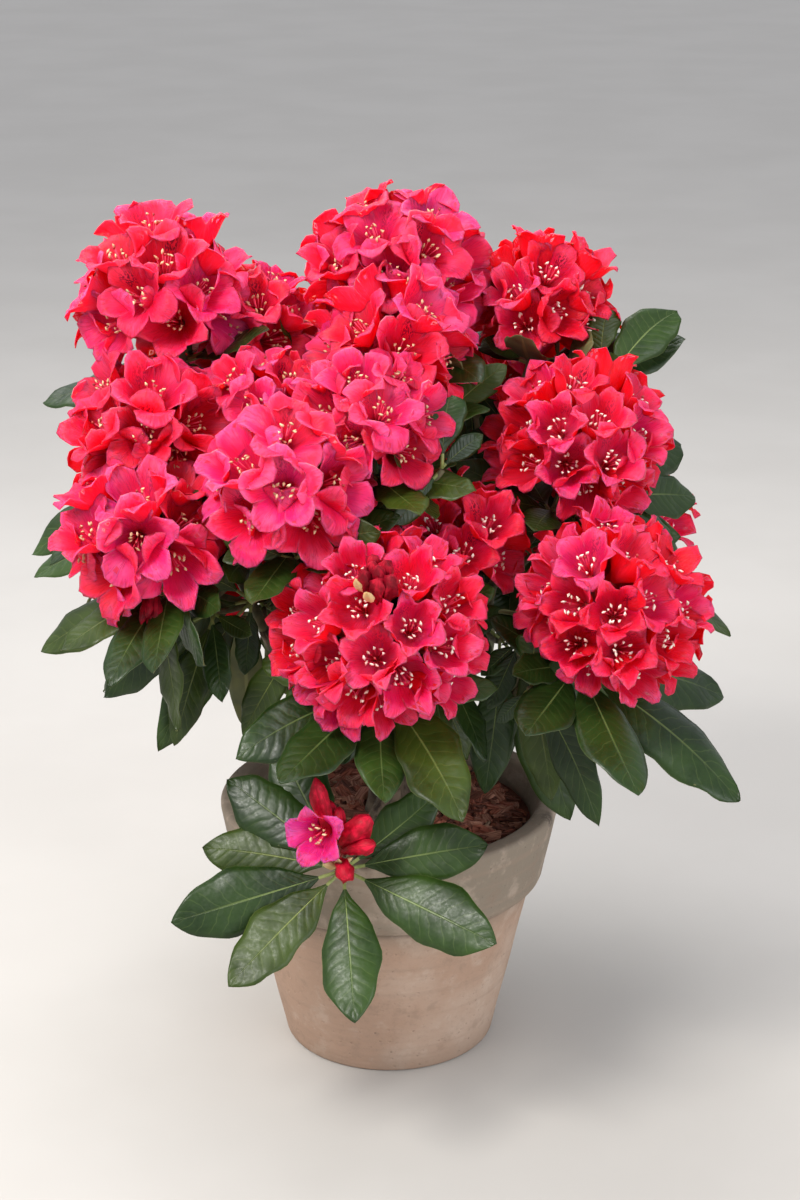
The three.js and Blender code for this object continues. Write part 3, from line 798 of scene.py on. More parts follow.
def bark_finish():
    """Brown bark with long fissures and greyer patches."""
    f = Finish("fissured_bark")
    lengthwise = f.stretched(f.places.outputs["UV"], (9, 70, 1))
    ridge = f.noise(1.0, 4, source=lengthwise)
    patch = f.noise(30, 3)
    colour = f.mix(f.between(ridge, 0.35, 0.65), (0.055, 0.036, 0.024, 1), (0.2, 0.145, 0.095, 1))
    f.colour(f.mix(f.between(patch, 0.5, 0.75, 0, 0.6), colour, (0.12, 0.12, 0.085, 1)))
    f.roughness(ridge, 0.95, 0.75)
    f.relief(ridge, 1.0)
    return f.material


def chip_finish(name, dark, light):
    """A chip of bark with its grain along it."""
    f = Finish(name)
    grain = f.noise(1.0, 3, source=f.stretched(f.places.outputs["UV"], (60, 700, 1)))
    patch = f.noise(55, 2)
    colour = f.mix(f.between(grain, 0.35, 0.65), dark, light)
    f.colour(f.mix(f.between(patch, 0.5, 0.8, 0, 0.6), colour, dark))
    f.roughness(grain, 0.95, 0.7)
    f.relief(grain, 0.7)
    return f.material


# The colours of the clay. seam is a painted shadow: the dark line just under the band, where the band's
# overhang shades the body.
CLAY_COLOURS = dict(
    warm=(0.4, 0.265, 0.19, 1), cool=(0.235, 0.192, 0.146, 1), pale=(0.52, 0.41, 0.33, 1),
    brown=(0.24, 0.17, 0.125, 1), ring=(0.3, 0.215, 0.16, 1), grain=(0.26, 0.19, 0.145, 1),
    seam=(0.09, 0.065, 0.05, 1), pit=(0.15, 0.11, 0.08, 1), damp=(0.25, 0.17, 0.12, 1),
    scuff=(0.07, 0.055, 0.045, 1))
# The scuff on the rim, in metres: its place, and where it starts and is at its darkest.
SCUFF_PLACE = (0.131, -0.047, 0.209)
SCUFF_REACH = (0.011, 0.003)


def clay_finish():
    """Matt clay: cooler at the rim, warmer on the body, with throwing marks, pits, pale bloom, a scuff on
    the rim and a painted shadow line just under the band."""
    f = Finish("weathered_clay", Specular_IOR_Level=0.25)
    place = f.places.outputs["Object"]
    z = f.parts(place)[2]
    cloud = f.noise(9, 4)
    fine = f.noise(260, 4, 0.7)
    pits = f.cells(120)
    rings = f.noise(1.0, 3, source=f.stretched(place, (3, 3, 150)))
    high = f.between(f.math("ADD", z, f.math("MULTIPLY", cloud, 0.03)), 0.13, 0.17)
    colour = f.mix(high, CLAY_COLOURS["warm"], CLAY_COLOURS["cool"])
    mottle = f.noise(42, 4, 0.65)
    under = POT_HEIGHT - POT_BAND_HEIGHT
    # A painted shadow: a dark line on the body just under the band's lower edge.
    seam = f.math("MULTIPLY", f.between(z, (under - 7) * MM, (under - 1) * MM),
                  f.between(z, (under + 2.5) * MM, (under + 0.5) * MM))
    rare = f.between(f.noise(70, 1), 0.5, 0.62)
    damp = f.math("MULTIPLY", f.between(z, 0.03, 0.0), f.between(cloud, 0.35, 0.6))
    away = f.node("ShaderNodeVectorMath", operation="DISTANCE")
    f.wire(place, away.inputs[0])
    away.inputs[1].default_value = SCUFF_PLACE
    scuff = f.math("MULTIPLY", f.between(away.outputs["Value"], *SCUFF_REACH), f.between(fine, 0.4, 0.55))
    for share, layer in (
            (f.between(cloud, 0.46, 0.7, 0, 0.6), "pale"),
            (f.between(mottle, 0.52, 0.7, 0, 0.4), "pale"),
            (f.between(mottle, 0.46, 0.3, 0, 0.4), "brown"),
            (f.between(rings, 0.5, 0.75, 0, 0.35), "ring"),
            (f.between(fine, 0.52, 0.75, 0, 0.35), "grain"),
            # the painted shadow under the band
            (f.math("MULTIPLY", seam, 0.6), "seam"),
            (f.math("MULTIPLY", f.between(pits, 0.14, 0.06, 0, 0.5), rare), "pit"),
            (f.math("MULTIPLY", damp, 0.45), "damp"),
            (f.math("MULTIPLY", scuff, 0.8), "scuff")):
        colour = f.mix(share, colour, CLAY_COLOURS[layer])
    f.colour(colour)
    f.roughness(cloud, 0.82, 0.95)
    height = f.math("ADD", f.math("MULTIPLY", rings, 1.2), f.math("MULTIPLY", fine, 0.6))
    height = f.math("SUBTRACT", height, f.between(pits, 0.2, 0.05, 0, 0.7))
    f.relief(height, 0.7, 0.8)
    return f.material


# Each petal's colours: the main one; the throat, darker as painted shade in the rose sets and the
# magenta one and paler as painted light in the crimson sets; the light colour, a painted highlight
# down the middle and at the margin of each lobe; and the cooler drifts. The rose sets are pinker than
# the crimson ones partly as painted sunlight, the crimson ones deeper partly as painted shade. The
# deep ones have the strongest blotch.
DEEP_BLOTCH = 0.85
PETALS = {
    "rose": [
        petal_finish("petal_rose_red", (0.92, 0.008, 0.05, 1), (0.8, 0.01, 0.05, 1),
                     (0.97, 0.1, 0.26, 1), (0.86, 0.01, 0.1, 1)),
        petal_finish("petal_rose_pink", (0.92, 0.012, 0.085, 1), (0.82, 0.02, 0.09, 1),
                     (0.97, 0.14, 0.33, 1), (0.86, 0.014, 0.14, 1)),
        petal_finish("petal_rose_deep", (0.86, 0.006, 0.03, 1), (0.72, 0.006, 0.03, 1),
                     (0.95, 0.07, 0.19, 1), (0.8, 0.008, 0.06, 1), DEEP_BLOTCH),
    ],
    "crimson": [
        petal_finish("petal_crimson", (0.88, 0.007, 0.04, 1), (0.9, 0.03, 0.1, 1),
                     (0.96, 0.08, 0.2, 1), (0.8, 0.006, 0.07, 1)),
        petal_finish("petal_crimson_pink", (0.9, 0.01, 0.06, 1), (0.92, 0.05, 0.14, 1),
                     (0.96, 0.11, 0.25, 1), (0.82, 0.009, 0.1, 1)),
        petal_finish("petal_crimson_deep", (0.8, 0.004, 0.02, 1), (0.84, 0.02, 0.06, 1),
                     (0.93, 0.05, 0.14, 1), (0.72, 0.005, 0.045, 1), DEEP_BLOTCH),
    ],
}
PETAL_BACKS = {
    "rose": petal_back_finish("petal_back_rose", (0.9, 0.008, 0.045, 1), (0.95, 0.05, 0.15, 1)),
    "crimson": petal_back_finish("petal_back_crimson", (0.86, 0.004, 0.015, 1), (0.92, 0.02, 0.06, 1)),
}
MAGENTA = petal_finish("petal_magenta", (0.84, 0.01, 0.13, 1), (0.8, 0.02, 0.14, 1), (0.94, 0.13, 0.36, 1),
                       (0.76, 0.012, 0.18, 1))
FILAMENT = plain_finish("filament_red", (0.76, 0.02, 0.08, 1), (0.86, 0.07, 0.16, 1), 200, 0.4, 0.55)
PALE_ANTHER = plain_finish("anther_cream", (0.86, 0.76, 0.6, 1), (0.95, 0.9, 0.82, 1), 160, 0.6, 0.8)
BUFF_ANTHER = plain_finish("anther_buff", (0.5, 0.26, 0.14, 1), (0.86, 0.68, 0.4, 1), 160, 0.6, 0.8)
PEDICEL = plain_finish("flower_stalk_red", (0.34, 0.02, 0.03, 1), (0.5, 0.06, 0.05, 1), 120, 0.45, 0.6)
BUD = bud_finish("bud_crimson", (0.3, 0.002, 0.012, 1), (0.74, 0.008, 0.045, 1))
OLD_BUD = bud_finish("bud_dark_crimson", (0.16, 0.001, 0.008, 1), (0.5, 0.006, 0.028, 1))
BUD_SCALE = plain_finish("bud_scale_tan", (0.55, 0.34, 0.14, 1), (0.72, 0.55, 0.3, 1), 90, 0.6, 0.8, 0.5)
LEAVES = [
    leaf_finish("leaf_dark_green", (0.008, 0.022, 0.003, 1), (0.018, 0.042, 0.006, 1),
                (0.18, 0.24, 0.07, 1), 0.3),
    leaf_finish("leaf_mid_green", (0.013, 0.032, 0.004, 1), (0.028, 0.061, 0.008, 1),
                (0.23, 0.3, 0.09, 1), 0.32),
    leaf_finish("leaf_olive_green", (0.018, 0.033, 0.003, 1), (0.038, 0.064, 0.006, 1),
                (0.23, 0.27, 0.07, 1), 0.34),
]
UNDERSIDE = underside_finish("leaf_underside", (0.075, 0.085, 0.03, 1), (0.17, 0.17, 0.06, 1))
PETIOLE = plain_finish("leaf_stalk", (0.16, 0.2, 0.05, 1), (0.27, 0.3, 0.09, 1), 150, 0.45, 0.6)
YOUNG_BARK = plain_finish("young_shoot_bark", (0.07, 0.07, 0.03, 1), (0.15, 0.12, 0.06, 1),
                          120, 0.65, 0.85, 0.6)
BARK = bark_finish()
CLAY = clay_finish()
CHIPS = [
    chip_finish("bark_chip_dark", (0.08, 0.024, 0.014, 1), (0.22, 0.07, 0.04, 1)),
    chip_finish("bark_chip_red", (0.18, 0.045, 0.026, 1), (0.44, 0.14, 0.08, 1)),
    chip_finish("bark_chip_brown", (0.22, 0.08, 0.05, 1), (0.5, 0.23, 0.15, 1)),
    chip_finish("bark_chip_pale", (0.28, 0.17, 0.11, 1), (0.5, 0.35, 0.24, 1)),
]


# The pot

def new_piece(name, bm, finish, smooth_faces=True):
    mesh = bpy.data.meshes.new(name)
    for face in bm.faces:
        face.smooth = smooth_faces
    bm.to_mesh(mesh)
    bm.free()
    piece = bpy.data.objects.new(name, mesh)
    bpy.context.scene.collection.objects.link(piece)
    mesh.materials.append(finish)
    return piece


def spin_profile(profile, steps):
    """A closed turned shape from a profile that starts and ends on the axis."""
    bm = bmesh.new()
    corners = [bm.verts.new((radius * MM, 0, height * MM)) for radius, height in profile]
    edges = [bm.edges.new(pair) for pair in zip(corners, corners[1:])]
    bmesh.ops.spin(bm, geom=corners + edges, cent=(0, 0, 0), axis=(0, 0, 1), angle=2 * math.pi,
                   steps=steps, use_merge=True)
    bmesh.ops.remove_doubles(bm, verts=bm.verts, dist=1e-6)
    bmesh.ops.recalc_face_normals(bm, faces=bm.faces)
    return bm


def ring_edges(bm, radius, height):
    """The round edge at a radius and a height."""
    def on_it(vert):
        beside = math.hypot(vert.co.x, vert.co.y)
        return abs(beside - radius * MM) < 1e-5 and abs(vert.co.z - height * MM) < 1e-5
    return [edge for edge in bm.edges if all(on_it(vert) for vert in edge.verts)]


POT_SEGMENTS = 128
# The width of the rounding at each corner of the profile.
POT_ROUNDS = [(1, 3), (2, 3), (3, 4.5), (4, 5), (5, 3.5), (6, 5)]
# Rings of corners on the walls, whose radius wavers a little, but not at the flat foot or in the
# middle of the floor.
POT_RING_STEP = 12
POT_LIP = 8
POT_WAVER = 0.6
FLAT_FOOT = 4
STEADY_RADIUS = 50
# Faces whose normal rises less than this are walls.
POT_WALL_SLOPE = 0.6


def make_pot():
    """The turned pot, with rounded edges, drain holes and walls that waver a little."""
    band_foot = POT_HEIGHT - POT_BAND_HEIGHT
    profile = [
        (0, 0),
        (POT_FOOT_RADIUS, 0),
        (POT_BODY_TOP_RADIUS, band_foot),
        (POT_BAND_FOOT_RADIUS, band_foot + 1),
        (POT_RIM_RADIUS, POT_HEIGHT),
        (POT_MOUTH_RADIUS, POT_HEIGHT),
        (POT_INNER_FOOT_RADIUS, POT_FLOOR),
        (0, POT_FLOOR),
    ]
    bm = spin_profile(profile, POT_SEGMENTS)
    for corner, width in POT_ROUNDS:
        bmesh.ops.bevel(bm, geom=ring_edges(bm, *profile[corner]), offset=width * MM, affect="EDGES",
                        segments=4, profile=0.5, material=-1)
    for i in range(DRAIN_HOLES):
        bearing = (i + 0.5) / DRAIN_HOLES * 2 * math.pi
        spot = Vector((math.cos(bearing), math.sin(bearing), 0)) * DRAIN_CIRCLE * MM
        bmesh.ops.recalc_face_normals(bm, faces=bm.faces)
        cut_hole(bm, spot)
    for band in np.arange(POT_RING_STEP, POT_HEIGHT - POT_LIP, POT_RING_STEP):
        walls = [face for face in bm.faces if abs(face.normal.z) < POT_WALL_SLOPE]
        edges = list(dict.fromkeys(edge for face in walls for edge in face.edges))
        verts = list(dict.fromkeys(vert for edge in edges for vert in edge.verts))
        bmesh.ops.bisect_plane(bm, geom=verts + edges + walls, plane_co=(0, 0, band * MM), plane_no=(0, 0, 1))
    for vert in bm.verts:
        beside = math.hypot(vert.co.x, vert.co.y)
        if beside > STEADY_RADIUS * MM and vert.co.z > FLAT_FOOT * MM:
            waver = noise.noise(Vector((vert.co.x * 9, vert.co.y * 9, vert.co.z * 22)))
            share = 1 + waver * POT_WAVER * MM / beside
            vert.co.x *= share
            vert.co.y *= share
    return new_piece("clay_pot", bm, CLAY)


def cut_hole(bm, spot):
    """Opens a round drain hole through the pot's floor."""
    tool = bmesh.new()
    bmesh.ops.create_cone(tool, cap_ends=True, cap_tris=False, segments=24, radius1=DRAIN_RADIUS * MM,
                          radius2=DRAIN_RADIUS * MM, depth=3 * POT_FLOOR * MM)
    bmesh.ops.translate(tool, verts=tool.verts, vec=spot)
    solids = []
    for name, shape in (("floor_being_cut", bm), ("hole_tool", tool)):
        mesh = bpy.data.meshes.new(name)
        shape.to_mesh(mesh)
        solid = bpy.data.objects.new(name, mesh)
        bpy.context.scene.collection.objects.link(solid)
        solids.append(solid)
    cut = solids[0].modifiers.new("cut", "BOOLEAN")
    cut.operation = "DIFFERENCE"
    cut.solver = "EXACT"
    cut.object = solids[1]
    depsgraph = bpy.context.evaluated_depsgraph_get()
    result = bpy.data.meshes.new_from_object(solids[0].evaluated_get(depsgraph))
    bm.clear()
    bm.from_mesh(result)
    tool.free()
    for solid in solids:
        mesh = solid.data
        bpy.data.objects.remove(solid)
        bpy.data.meshes.remove(mesh)
    bpy.data.meshes.remove(result)


# The mulch

CHIP_COUNT = 760
CHIP_KINDS = 6
CHIP_TAPER = 0.45
CHIP_PLAY = (0.16, 0.24, 0.5)
# Lengths, widths and thicknesses: the least, and what chance adds to it.
CHIP_LENGTHS = (9, 17)
CHIP_WIDTHS = (4, 6)
CHIP_THICKNESSES = (1.6, 2.2)
CHIP_SHORTNESS = 1.6
# A few chips are pale splinters that lie on top.
PALE_SHARE = 0.965
PALE_WIDTH = 2.5
PALE_THICKNESS = 1.4
PALE_LIFT = 2.2
CHIP_LIFT = 0.2
CHIP_LAYER = 3.6
CHIP_TILT = 0.75
CHIP_ROLL = 0.9
CHIP_EDGE = 3
CHIP_PATTERN_STEP = 7
CHIP_STEM_OVERLAP = 6


class Chip:
    """A bark chip of irregular outline, one unit long, in the way that a heap reads it."""

    def __init__(self, kind):
        bm = bmesh.new()
        bmesh.ops.create_cube(bm, size=1)
        bmesh.ops.subdivide_edges(bm, edges=bm.edges, cuts=1, use_grid_fill=True)
        for i, vert in enumerate(bm.verts):
            vert.co.y *= 1 - CHIP_TAPER * abs(vert.co.x * 2) ** 2 * chance(kind, KEY_CHIP_TAPER)
            for side, (play, key) in enumerate(zip(CHIP_PLAY, KEYS_CHIP_CORNER)):
                vert.co[side] += play * (chance(kind, i, key) - 0.5)
        bmesh.ops.recalc_face_normals(bm, faces=bm.faces)
        bm.verts.index_update()
        self.verts = np.array([vert.co[:] for vert in bm.verts])
        faces = [[vert.index for vert in face.verts] for face in bm.faces]
        self.corners = np.concatenate(faces)
        self.sizes = np.array([len(face) for face in faces])
        bm.free()


def turned(angle, tilt, roll):
    """The matrix of a roll about the chip's length, then a tilt of it, then a turn on the ground."""
    ca, sa, ct, st, cr, sr = (f(a) for a in (angle, tilt, roll) for f in (math.cos, math.sin))
    spin = np.array([[ca, -sa, 0], [sa, ca, 0], [0, 0, 1]])
    lean = np.array([[ct, 0, st], [0, 1, 0], [-st, 0, ct]])
    twist = np.array([[1, 0, 0], [0, cr, -sr], [0, sr, cr]])
    return spin @ lean @ twist


def make_chips():
    """Chips that lie every way, dealt out evenly over the growing medium from the stem outwards."""
    heap = Heap("bark_chips", CHIPS)
    forms = [Chip(kind) for kind in range(CHIP_KINDS)]
    wall = inner_radius(MULCH_EDGE)
    for i in range(CHIP_COUNT):
        form = forms[i % len(forms)]
        length = CHIP_LENGTHS[0] + CHIP_LENGTHS[1] * chance(i, KEY_CHIP_LENGTH) ** CHIP_SHORTNESS
        width = CHIP_WIDTHS[0] + CHIP_WIDTHS[1] * chance(i, KEY_CHIP_WIDTH)
        thick = CHIP_THICKNESSES[0] + CHIP_THICKNESSES[1] * chance(i, KEY_CHIP_THICKNESS)
        pale = chance(i, KEY_CHIP_PALE) > PALE_SHARE
        if pale:
            width, thick = PALE_WIDTH, PALE_THICKNESS
        first = STEM_FOOT_RADIUS - CHIP_STEM_OVERLAP
        last = wall - CHIP_EDGE - 0.5 * length
        radius = first + (last - first) * math.sqrt((i + 0.5) / CHIP_COUNT)
        bearing = i * GOLDEN_ANGLE
        surface = np.interp(radius, [2 * STEM_FOOT_RADIUS, wall], [MULCH_CROWN, MULCH_EDGE])
        height = surface + CHIP_LIFT + CHIP_LAYER * chance(i, KEY_CHIP_HEIGHT) + (PALE_LIFT if pale else 0)
        turn = turned(2 * math.pi * chance(i, KEY_CHIP_TURN), CHIP_TILT * (chance(i, KEY_CHIP_TILT) - 0.5),
                      CHIP_ROLL * (chance(i, KEY_CHIP_ROLL) - 0.5))
        chip = form.verts * [length, width, thick]
        places = chip @ turn.T + [radius * math.cos(bearing), radius * math.sin(bearing), height]
        pattern = (chip[form.corners][:, :2] + i * CHIP_PATTERN_STEP) * MM
        tone = len(CHIPS) - 1 if pale else int((len(CHIPS) - 1) * chance(i, KEY_CHIP_TONE))
        heap.add(form, places, pattern, tone)
    return heap.finish(smooth_faces=False)


# The stem, the boughs and the twigs

TRUNK_FACETS = (28, 30)
TRUNK_RELIEF = 0.14
TRUNK_SINK = 3
BOUGH_SIDES = 14
BOUGH_STEP = 5
BOUGH_FEWEST_STEPS = 8
BOUGH_RELIEF = 0.16
# How quickly the bark's ridges change round the limb and along it, and its knots along it.
RIDGE_ROUND = 2.2
RIDGE_ALONG = 0.03
KNOT_ALONG = 0.07
KNOT_SHARE = 0.6


def limb_on(bm, curve, radius_at, sides, steps, relief, key):
    """A limb with its bark's relief: long ridges and a few knots."""
    made = bmesh.ops.create_cone(bm, cap_ends=True, cap_tris=False, segments=sides, radius1=1, radius2=1,
                                 depth=1)
    fresh = set(made["verts"])
    for i in range(1, steps):
        geom = [g for g in [*bm.verts, *bm.edges, *bm.faces]
                if (g in fresh if isinstance(g, bmesh.types.BMVert) else all(v in fresh for v in g.verts))]
        cut = bmesh.ops.bisect_plane(bm, geom=geom, plane_co=(0, 0, i / steps - 0.5), plane_no=(0, 0, 1))
        fresh.update(g for g in cut["geom_cut"] if isinstance(g, bmesh.types.BMVert))
        fresh.update(g for g in cut["geom"] if isinstance(g, bmesh.types.BMVert))
    levels = np.linspace(0, 1, steps + 1)
    t = curve.even(levels)
    points = curve.point(t)
    normals, binormals = frames_along(curve.tangent(t))
    pattern = bm.loops.layers.uv.verify()
    faces = {face for vert in fresh for face in vert.link_faces}
    for loop in [loop for face in faces for loop in face.loops]:
        co = loop.vert.co
        turn = math.atan2(co.y, co.x) / (2 * math.pi) + 0.5
        loop[pattern].uv = (turn, (co.z + 0.5) * curve.length * MM)
    for vert in fresh:
        along = vert.co.z + 0.5
        level = round(along * steps)
        angle = math.atan2(vert.co.y, vert.co.x)
        x, y, z = math.cos(angle), math.sin(angle), along * curve.length
        ridge = noise.noise(Vector((x * RIDGE_ROUND, y * RIDGE_ROUND, z * RIDGE_ALONG + key)))
        knot = noise.noise(Vector((x, y, z * KNOT_ALONG - key)))
        radius = radius_at(along) * (1 + relief * ridge + KNOT_SHARE * relief * max(0, knot))
        vert.co = (points[level] + normals[level] * radius * x + binormals[level] * radius * y) * MM


def trunk_radius(along):
    return STEM_RADIUS + (STEM_FOOT_RADIUS - STEM_RADIUS) * (1 - along) ** STEM_FLARE


def make_limbs():
    """The stem and the boughs. The numbers after the relief keep their barks apart."""
    bm = bmesh.new()
    trunk = Bezier((0, 0, MULCH_CROWN - TRUNK_SINK), (0, 0, STEM_TOP))
    limb_on(bm, trunk, trunk_radius, *TRUNK_FACETS, TRUNK_RELIEF, 3)
    for key, bough in enumerate(boughs):
        steps = max(BOUGH_FEWEST_STEPS, int(bough.length / BOUGH_STEP))
        limb_on(bm, bough, taper(BOUGH_RADIUS, BOUGH_TIP_RADIUS), BOUGH_SIDES, steps, BOUGH_RELIEF, key + 11)
    bmesh.ops.recalc_face_normals(bm, faces=bm.faces)
    return new_piece("stem_and_boughs", bm, BARK)


TWIG_FORM = Form(9, 10)
STALK_FORM = Form(5, 4)
FILAMENT_FORM = Form(3, 1)
BUD_FORM = Form(10, 9)
ANTHER_FORM = Form(3, 2)


# How far below the middle of a side shoot its twig sags, and how far the twig reaches past its
# whorl.
SIDE_TWIG_SAG = 4
SIDE_TWIG_TIP = 5
KNOB_SHARE = 0.16
KNOB_ROUND = 1.6
KNOB_ALONG = 7


def make_twigs(mass_index, name):
    """A mass's stem, its twigs with their shafts up to the truss, and the twigs of side shoots."""
    heap = Heap(f"twigs_{name}", [YOUNG_BARK])
    stem, twigs = growths[mass_index]
    key = mass_index * 10
    add_tube(heap, TWIG_FORM, stem, taper(BOUGH_TIP_RADIUS, TWIG_STEM_RADIUS), 0, knobs(TWIG_FORM, key))
    for i, (shoot, twig) in enumerate(zip(shoots_of(mass_index), twigs)):
        add_tube(heap, TWIG_FORM, twig, taper(TWIG_RADIUS + 0.4, TWIG_TIP_RADIUS + 0.6), 0,
                 knobs(TWIG_FORM, key + i + 1))
        foot = shoot["whorl"] - shoot["axis"] * WHORL_HEIGHT
        crown = shoot["heart"] + shoot["axis"] * SHAFT_CROWN
        add_tube(heap, TWIG_FORM, Bezier(foot, crown), taper(SHAFT_RADIUS + 0.9, SHAFT_RADIUS - 0.5), 0,
                 knobs(TWIG_FORM, key + i + 5))
    for shoot in SIDE_SHOOTS[mass_index]:
        bend = (shoot["start"] + shoot["whorl"]) / 2 - np.array([0, 0, SIDE_TWIG_SAG])
        curve = Bezier(shoot["start"], bend, shoot["whorl"] + shoot["axis"] * SIDE_TWIG_TIP)
        add_tube(heap, TWIG_FORM, curve, taper(TWIG_RADIUS, TWIG_TIP_RADIUS), 0,
                 knobs(TWIG_FORM, shoot["index"]))
    return heap.finish()


def knobs(form, key):
    """Leaf scars and small swellings along a twig."""
    return 1 + KNOB_SHARE * noise_round(form, KNOB_ROUND, KNOB_ALONG, key)


def noise_round(form, pace_round, pace_along, key):
    """Noise at each of a form's corners, that closes round it."""
    return np.array([
        noise.noise(Vector((math.cos(a) * pace_round, math.sin(a) * pace_round, s * pace_along + key)))
        for a, s in zip(form.angle, form.along)])


# Leaves

LEAF_FORM = Form(14, 20)
PETIOLE_SHARE = 0.14
PETIOLE_HALF = 1.5
PETIOLE_TAPER = 0.85
PETIOLE_THICKNESS = 2.2
# The rows of corners stand closer together towards the leaf's tip.
LEAF_CROWDING = 1.3
# The outline is a rounded lens. It swells sooner at the tip than at the stalk, and is a little
# broader than the solids' leaf, whose corners cut it.
BLADE_START = 1.05
BLADE_ROUNDNESS = 2.1
BASE_FULLNESS = 0.9
TIP_FULLNESS = 0.84
BLADE_BREADTH = 1.07
# Each wave of the margin: its size, its pace, how many times it takes the phase, and how far the two
# margins are out of step.
MARGIN_WAVES = [(0.045, 9, 1, 1.4), (0.035, 24, 2, 2)]
LEAST_WAVINESS = 0.5
MORE_WAVINESS = 1.4
BLADE_THICKNESS = 0.8
RIB_THICKNESS = 1.0
RIB_WIDTH = 0.12
# A blade is folded along its rib, dished towards its margins, rippled, twisted and bent sideways.
LEAST_FOLD = 0.6
MORE_FOLD = 0.9
BLADE_DISH = 0.010
LEAST_RIPPLE = 0.6
MORE_RIPPLE = 1.5
RIPPLE_COUNT = 3.2
RIPPLE_LAG = 1.3
FINE_RIPPLE = 0.4
FINE_RIPPLE_PACE = 41
BLADE_TWIST = 0.7
BLADE_SWEEP = 0.14
# Most leaves have the first of the three greens.
TONE_BIAS = 1.3
UNDERSIDE_SLOT = 3
PETIOLE_SLOT = 4
PHASE_SPAN = 6.28


def margin_waves(along, side, phase):
    return sum(height * np.sin(pace * along + turns * phase + lag * side)
               for height, pace, turns, lag in MARGIN_WAVES)


def add_leaf(heap, shoot, number, curve, aim, length, size):
    """A leaf: its stalk, and a blade with a raised rib and a wavy margin."""
    def draw(key):
        return chance(shoot["index"], number, key)

    form = LEAF_FORM
    x = np.cos(form.angle)
    up = np.sin(form.angle)
    s = 1 - (1 - form.along) ** LEAF_CROWDING
    blade = np.clip((s - PETIOLE_SHARE) / (1 - PETIOLE_SHARE), 0, 1) ** BLADE_START
    lens = np.clip(1 - np.abs(2 * blade - 1) ** BLADE_ROUNDNESS, 0, 1)
    outline = lens ** np.where(blade < 0.5, BASE_FULLNESS, TIP_FULLNESS)
    waves = margin_waves(s, np.sign(x), PHASE_SPAN * draw(KEY_MARGIN))
    wobble = 1 + (LEAST_WAVINESS + MORE_WAVINESS * draw(KEY_WAVINESS)) * waves
    half = 0.5 * LEAF_WIDTH * BLADE_BREADTH * length * outline * wobble
    half = np.maximum(half, PETIOLE_HALF * (1 - PETIOLE_TAPER * s))
    thick = np.where(s < PETIOLE_SHARE, PETIOLE_THICKNESS, BLADE_THICKNESS)
    thick = thick + RIB_THICKNESS * np.exp(-(x / RIB_WIDTH) ** 2) * (1 - s)
    thick = np.where(half < 2 * PETIOLE_HALF, np.minimum(thick, 2 * half), thick)
    reach = np.abs(x) * half
    lift = reach * LEAF_FOLD * (LEAST_FOLD + MORE_FOLD * draw(KEY_FOLD))
    lift = lift - BLADE_DISH * reach ** 2 * (0.5 + draw(KEY_DISH))
    phase = PHASE_SPAN * draw(KEY_RIPPLE)
    ripple = np.sin(2 * math.pi * RIPPLE_COUNT * s + phase + RIPPLE_LAG * np.sign(x))
    ripple = ripple + FINE_RIPPLE * np.sin(FINE_RIPPLE_PACE * s + 2 * phase)
    height = (LEAST_RIPPLE + MORE_RIPPLE * draw(KEY_RIPPLE_SIZE)) * size
    lift = lift + height * ripple * x ** 2 * np.sqrt(blade)
    twist = (draw(KEY_TWIST) - 0.5) * BLADE_TWIST * s
    sway = (draw(KEY_SWEEP) - 0.5) * BLADE_SWEEP * length * s ** 2
    levels, level_of = np.unique(s.round(5), return_inverse=True)
    points = curve.point(levels)
    tangents = curve.tangent(levels)
    side = leaf_side(shoot, aim)
    uppers = np.cross(tangents, side)
    uppers /= np.linalg.norm(uppers, axis=1, keepdims=True)
    lateral = x * half
    rise = lift + 0.5 * thick * up
    flat = lateral * np.cos(twist) - rise * np.sin(twist) + sway
    high = lateral * np.sin(twist) + rise * np.cos(twist)
    places = points[level_of] + side * flat[:, None] + uppers[level_of] * high[:, None]
    pattern = np.stack([0.5 + 0.5 * x[form.corners], s[form.corners]], axis=1)
    tone = int(UNDERSIDE_SLOT * draw(KEY_LEAF_TONE) ** TONE_BIAS)
    slots = np.where((form.middle_turn > 0) & (form.middle_turn < 0.5), tone, UNDERSIDE_SLOT)
    on_petiole = 1 - (1 - form.middle_along) ** LEAF_CROWDING < PETIOLE_SHARE
    heap.add(form, places, pattern, np.where(on_petiole, PETIOLE_SLOT, slots))


# Leafy side shoots without flowers. Most fork from the twigs at these shares of their length, and
# the others stand at known places, where the photo shows leaves or lets nothing through.
SIDE_SHARES = (0.45, 0.8)
SIDE_LENGTH = 34
SIDE_LENGTH_PLAY = 0.5
SIDE_RISE = 0.45
SIDE_REACH = 0.72
SIDE_DROOP = 0.3
SIDE_LEAVES = 5
